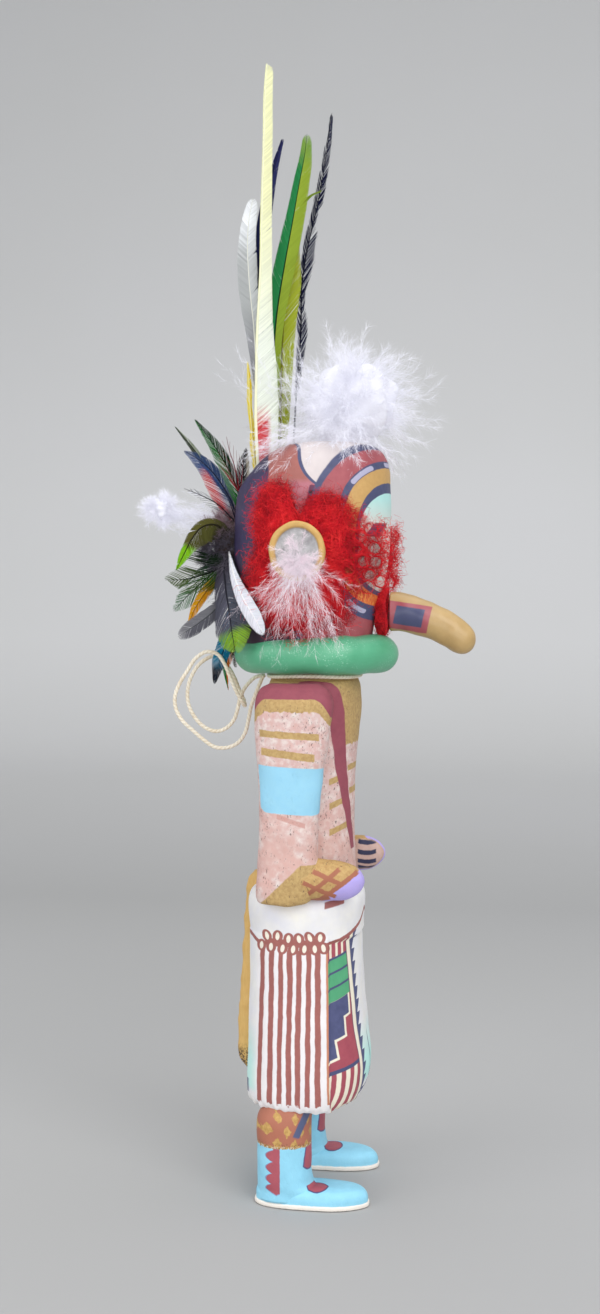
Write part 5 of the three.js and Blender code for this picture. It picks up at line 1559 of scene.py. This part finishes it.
ear = {"middle": (-0.1, 235.0), "wide": 9.9, "high": 10.4, "face": 39.6,
       "profile": ((5.2, 28.0), (5.2, 35.6), (4.6, 36.0), (1.0, 36.0), (0.2, 36.3), (0.0, 37.2), (0.0, 39.0),
                   (0.3, 39.5), (0.9, 39.6), (1.6, 39.5), (2.1, 39.0), (2.4, 38.5), (3.0, 38.4), (8.6, 38.4))}
wool = {
    # how far the wool reaches from the disc's middle (mm) at degrees up from the front, and its felted core
    "outline": ((0, 30), (20, 27), (40, 24.5), (60, 24.5), (80, 21), (88, 13), (95, 12.5), (101, 26), (117, 29),
                (136, 23.5), (160, 18.5), (175, 18), (215, 26), (240, 32), (270, 33), (300, 32),
                (320, 27), (345, 28), (360, 30)),
    "core": ((0, 14), (20, 15.5), (40, 19), (60, 21), (78, 17.5), (87, 8.6), (96, 8.6), (103, 22), (118, 26),
             (136, 21.5), (160, 17), (178, 15), (215, 20), (245, 28), (285, 28), (310, 18), (345, 12),
             (360, 13)),
    "holes": ((-20.6, 240.5), (-19.9, 235.9), (-25.1, 236.6), (-22.0, 231.7), (-25.8, 231.5), (-23.5, 226.8),
              (-23.0, 222.4), (-27.4, 224.6), (-17.0, 228.6), (-16.4, 223.4), (-24.2, 243.4)),
    "holeRound": 2.3, "bundles": 90, "fibres": 30, "fluff": 4600, "loose": 330,
}


def measured(table, angle):
    # a reach read off a table of degrees and millimetres
    table = np.array(table, float)
    return np.interp(np.degrees(angle) % 360, table[:, 0], table[:, 1])


def maskSide(y, z):
    # half width of the mask at a depth and height
    rows = np.array(mask["rows"])
    half = np.interp(z, rows[:, 0], rows[:, 1])
    deep = np.where(y < 0, np.interp(z, rows[:, 0], rows[:, 2]), np.interp(z, rows[:, 0], rows[:, 3]))
    share = np.clip(1 - np.abs(y / deep) ** 2.2, 0.0, 1)
    return half * share ** (1 / 2.2)


def onMask(side, angle, reach, lift):
    # a place on the mask's side: an angle and reach from the ear's middle, and a lift off the surface
    y = ear["middle"][0] - np.cos(angle) * reach
    z = ear["middle"][1] + np.sin(angle) * reach
    y = np.clip(y, -28.2, 27)
    return np.stack([side * (maskSide(y, z) + lift), y, z], -1)


def openHoles(paths):
    # pushes the strands aside, out of the gaps between the looped yarns
    for y, z in wool["holes"]:
        away = paths[..., 1:] - np.array((y, z))
        far = np.linalg.norm(away, axis=-1, keepdims=True)
        push = np.clip(wool["holeRound"] - far, 0, None)
        paths[..., 1:] += away / np.maximum(far, 0.05) * push
    return paths


def makeWool(name, side):
    rng = np.random.default_rng(40 + side)
    outward = np.array([side, 0.0, 0.25])
    # the felted core: a soft lumpy shell from the mask up to its crown and back, its columns round the disc
    rows = 34
    turn = np.linspace(0, 2 * math.pi, 170, endpoint=False)[None] * -side
    share = np.concatenate([np.linspace(0.12, 1, rows), np.linspace(0.985, 0.12, rows)])[:, None]
    top = np.repeat([0.0, 1.0], rows)[:, None]
    reach = 4.0 + (measured(wool["core"], turn) - 4.0) * share
    dome = np.sqrt(np.clip(1 - share ** 2.4, 0.0, 1))
    flat = onMask(side, turn, reach, 0.0)
    lump = 1 + 0.30 * ripple(flat, 9.0, 91 + side) + 0.12 * ripple(flat, 3.2, 92 + side)
    lift = 0.25 + top * dome * 5.6 * lump
    shell = onMask(side, turn, reach, lift)
    # painted light and shade on the core: darker where it lies against the mask, lighter where it domes out
    paintedLight = np.clip(0.35 + 0.35 * dome * top * lump + 0 * turn, 0, 1)
    parts = [closedPart(shell, {"tip": paintedLight, "shade": np.clip(lump * 0.5, 0, 1)})]
    # bundles of fibres that run out from behind the ear's disc over the side of the mask
    steps = 14
    share = np.linspace(0, 1, steps)
    bundles, fibres = wool["bundles"], wool["fibres"]
    angle = np.linspace(0, 2 * math.pi, bundles, endpoint=False) + rng.normal(size=bundles) * 0.05
    sway = rng.normal(size=(bundles, 2)) * 0.12
    path = angle[:, None] + sway[:, :1] * np.sin(share * 5) + sway[:, 1:] * np.sin(share * 11 + 1)
    spread = rng.normal(size=(bundles, fibres, 1)) * 0.055
    wave = rng.normal(size=(bundles, fibres, 2, 1)) * 0.06
    phase = rng.uniform(0, 6.3, (bundles, fibres, 2, 1))
    angles = path[:, None] + spread + wave[:, :, 0] * np.sin(share * 13 + phase[:, :, 0]) \
        + wave[:, :, 1] * np.sin(share * 24 + phase[:, :, 1])
    edge = measured(wool["outline"], angles)
    reach = 6 + (edge * rng.uniform(0.66, 1.03, (bundles, fibres, 1)) - 6) * share
    crown = np.sqrt(np.clip(1 - (reach / (edge + 1.5)) ** 2, 0.02, 1))
    lift = 0.4 + crown * rng.uniform(1.5, 8.4, (bundles, fibres, 1)) + 0.5 * np.sin(share * 16 + phase[:, :, 0])
    paths = onMask(side, angles, reach, np.maximum(lift, 0.25)).reshape(-1, steps, 3)
    # how far each strand stands off the mask, which sets how light or dark it is painted
    depth = np.clip(lift / 8, 0, 1).reshape(-1, steps)
    shade = np.repeat(rng.uniform(0, 1, bundles), fibres) * 0.6 + rng.uniform(0, 0.4, bundles * fibres)
    parts.append(strandPart(rng, openHoles(paths), 0.07, {"tip": depth, "shade": shade[:, None]}, 0.6, outward))
    # teased fluff over the two clumps above the disc, and less of it elsewhere
    count = wool["fluff"]
    pick = rng.uniform(size=count)
    angle = np.radians(np.where(pick < 0.46, rng.normal(128, 20, count),
                                np.where(pick < 0.70, rng.normal(56, 16, count), rng.uniform(180, 400, count))))
    edge = measured(wool["outline"], angle)
    reach = 8 + (edge - 9) * rng.uniform(0, 1, count) ** 0.6
    crown = np.sqrt(np.clip(1 - (reach / (edge + 1.5)) ** 2, 0.02, 1))
    lift = 0.3 + crown * rng.uniform(2.0, 8.0, count)
    start = onMask(side, angle, reach, lift)
    aim = unit(rng.normal(size=(count, 3)) * (0.6, 1, 1))
    curl = wander(rng, start, aim, rng.uniform(2.5, 6.5, count), 6, 0.5, 0.0, 1.6)
    inside = maskSide(np.clip(curl[..., 1], -28.2, 27), curl[..., 2])
    curl[..., 0] = side * np.maximum(side * curl[..., 0], inside + 0.15)
    # how far each curl stands off the mask, which sets how light or dark it is painted
    depth = np.clip((side * curl[..., 0] - inside) / 8, 0, 1)
    parts.append(strandPart(rng, openHoles(curl), 0.06, {
        "tip": depth, "shade": rng.uniform(0, 1, (count, 1))}, 0.6, outward))
    # loose curls that stand in front of the face's edge
    count = wool["loose"] * (2 if side > 0 else 1)
    start = np.stack([side * rng.uniform(13, 21, count), rng.uniform(-31.0, -26.0, count),
                      rng.uniform(223, 245, count)], -1)
    aim = unit(rng.normal(size=(count, 3)) * (1.0, 0.5, 1.2))
    curl = wander(rng, start, aim, rng.uniform(2.5, 6.0, count), 7, 0.6, 0.0, 1.6)
    parts.append(strandPart(rng, openHoles(curl), 0.07, {
        "tip": np.full((1, 7), 0.8), "shade": rng.uniform(0, 1, (count, 1))}, 0.6, outward))
    return joined("ear_wool_" + name + "_fibres", parts)


def woolPaint():
    paint = Paint("redWool", 0.95)
    tip, shade = paint.attribute("tip"), paint.attribute("shade")
    place = paint.place()
    tuft = paint.noise(place, 5.0, 3.0)
    fluff = paint.noise(place, 0.8, 4.0, (1, 1, 2.2))
    # painted shade and light: strands deep against the mask are dark crimson, strands lifted out bright red
    colour = paint.mix((tip + fluff * 0.6 - 0.3).above(0.4, 0.7), (0.45, 0.0, 0.07), (0.83, 0.03, 0.12))
    # painted highlights: orange-red on the outer strands
    colour = paint.mix((shade * 0.5 + tuft).above(0.84, 0.3) * tip * 0.8, colour, (0.93, 0.20, 0.20))
    colour = paint.mix(tuft.below(0.40, 0.1) * 0.5, colour, (0.55, 0.0, 0.08))
    return paint.finish(paint.shade(colour, shade * 0.3 + 0.92), None, fluff, 0.6, 0.0006)


def earPaint():
    paint = Paint("earPaint", 0.6)
    place = paint.place()
    x, y, z = paint.axes(place, 0.2, 3.0)
    far = (((y - ear["middle"][0]) / (ear["wide"] - 2.2)) ** 2.0
           + ((z - ear["middle"][1]) / (ear["high"] - 2.2)) ** 2.0).sqrt()
    cloud = paint.noise(place, 2.2, 4.0)
    rim = paint.mix(cloud, (0.84, 0.69, 0.42), (0.74, 0.57, 0.31))
    dish = paint.mix(cloud.above(0.5, 0.4), (0.74, 0.74, 0.74), (0.58, 0.57, 0.58))
    colour = paint.mix(far.below(1.0, 0.06), rim, dish)
    colour, height = carvedWear(paint, place, colour, 0.64)
    return paint.finish(colour, None, height, 0.35)


def makeEars():
    red, paint = woolPaint(), earPaint()
    tuft = downPaint("earDown", (0.92, 0.90, 0.92), (0.94, 0.88, 0.91), 0.09)
    turn = np.linspace(0, 2 * math.pi, 120, endpoint=False)
    for name, side in (("right", -1), ("left", 1)):
        rows = smoothRows(ear["profile"], 90)
        inset, out = rows[:, :1], rows[:, 1:]
        y = ear["middle"][0] + np.cos(turn) * (ear["wide"] - inset)
        z = ear["middle"][1] + side * np.sin(turn) * (ear["high"] - inset)
        x = side * out + 0 * turn
        points = np.stack([x, y, z], -1)
        points += surfaceNormals(points) * (ripple(points, 6.0, 81 + side) * 0.1)[..., None]
        dress(closedGrid("ear_" + name + "_disc", points), paint, "ochre_painted_wood", "ear_" + name)
        dress(makeWool(name, side), red, "red_yarn", "ear_wool_" + name)
        rng = np.random.default_rng(60 + side)
        middle = np.array([side * (ear["face"] - 0.8), ear["middle"][0] - 0.4, ear["middle"][1] - 3.4])
        facing = np.array([side, 0.0, 0.3])
        # long wisps that hang and spread over the wool and the ruff
        count = 52
        fan = np.radians(rng.normal(-90, 30, count))
        aim = unit(np.stack([side * rng.uniform(0.02, 0.34, count), np.cos(fan), np.sin(fan)], 1))
        start = middle + rng.normal(size=(count, 3)) * (0.5, 2.2, 1.8)
        long = rng.uniform(15, 36, count) * (0.65 + 0.35 * np.abs(np.sin(fan)))
        parts = plumeParts(rng, start, aim, long, 60, 4.8, 0.06, 0.05, 0.02, 0.8, facing)
        # short soft down that stands over the lower half of the disc
        count = 64
        fan = rng.uniform(0, 2 * math.pi, count)
        aim = unit(np.stack([side * rng.uniform(0.1, 0.7, count), np.cos(fan) * 1.1, np.sin(fan) - 0.35], 1))
        start = middle + rng.normal(size=(count, 3)) * (0.5, 1.4, 1.4)
        parts += plumeParts(rng, start, aim, rng.uniform(3, 12, count), 110, 3.4, 0.10, 0.08, 0.022, 1.0,
                            facing)
        dress(joined("ear_down_" + name + "_plumes", parts), tuft, "white_down", "ear_down_" + name)
    # the red yarn round the root of the snout
    rng = np.random.default_rng(70)
    turn = np.linspace(0, 2 * math.pi, 300, endpoint=False)
    centre = np.array([0, snout["front"] - 0.4 - snout["yarn"], snout["height"]])
    parts = []
    for lap in range(4):
        shift = (lap - 1.5) * 0.75
        around = 7.5 + 0.25 * np.sin(turn * 5 + lap)
        path = centre + np.stack([np.cos(turn) * around, shift + 0.3 * np.sin(turn * 3 + lap),
                                  np.sin(turn) * around], -1)
        spin = turn * 26
        for ply in range(2):
            off = np.stack([np.cos(turn) * np.cos(spin + ply * math.pi), np.sin(spin + ply * math.pi),
                            np.sin(turn) * np.cos(spin + ply * math.pi)], -1) * 0.45
            parts.append(loopPart(path + off, 0.62, {"tip": 0.55, "shade": 0.4}))
    count = 2600
    at = rng.uniform(0, 2 * math.pi, count)
    out = np.stack([np.cos(at), np.zeros(count), np.sin(at)], 1)
    start = centre + out * 8.0 + rng.normal(size=(count, 3)) * (0.4, 1.1, 0.4)
    aim = unit(out + rng.normal(size=(count, 3)))
    fuzz = wander(rng, start, aim, rng.uniform(1.0, 2.8, count), 6, 0.5, 0.0, 1.6)
    parts.append(strandPart(rng, fuzz, 0.05, {"tip": np.full((1, 6), 0.8),
                                              "shade": rng.uniform(0, 1, (count, 1))}))
    dress(joined("snout_yarn_laps", parts), red, "red_yarn", "snout_yarn")


def loopPart(path, radius, values):
    # a closed round tube
    tangent = unit(np.roll(path, -1, 0) - np.roll(path, 1, 0))
    across = unit(np.cross(tangent, (0.0, 1.0, 0.0)))
    other = np.cross(tangent, across)
    angle = np.linspace(0, 2 * math.pi, 8, endpoint=False)
    points = path[:, None] + radius * (np.cos(angle)[:, None] * across[:, None]
                                       + np.sin(angle)[:, None] * other[:, None])
    count, columns = points.shape[:2]
    index = np.arange(count * columns).reshape(count, columns)
    ahead = np.roll(index, -1, 0)
    faces = np.stack([index, np.roll(index, -1, 1), np.roll(ahead, -1, 1), ahead], -1).reshape(-1, 4)
    return points.reshape(-1, 3), faces, {key: np.full(count * columns, value) for key, value in values.items()}


makeEars()
print("ears and wool")
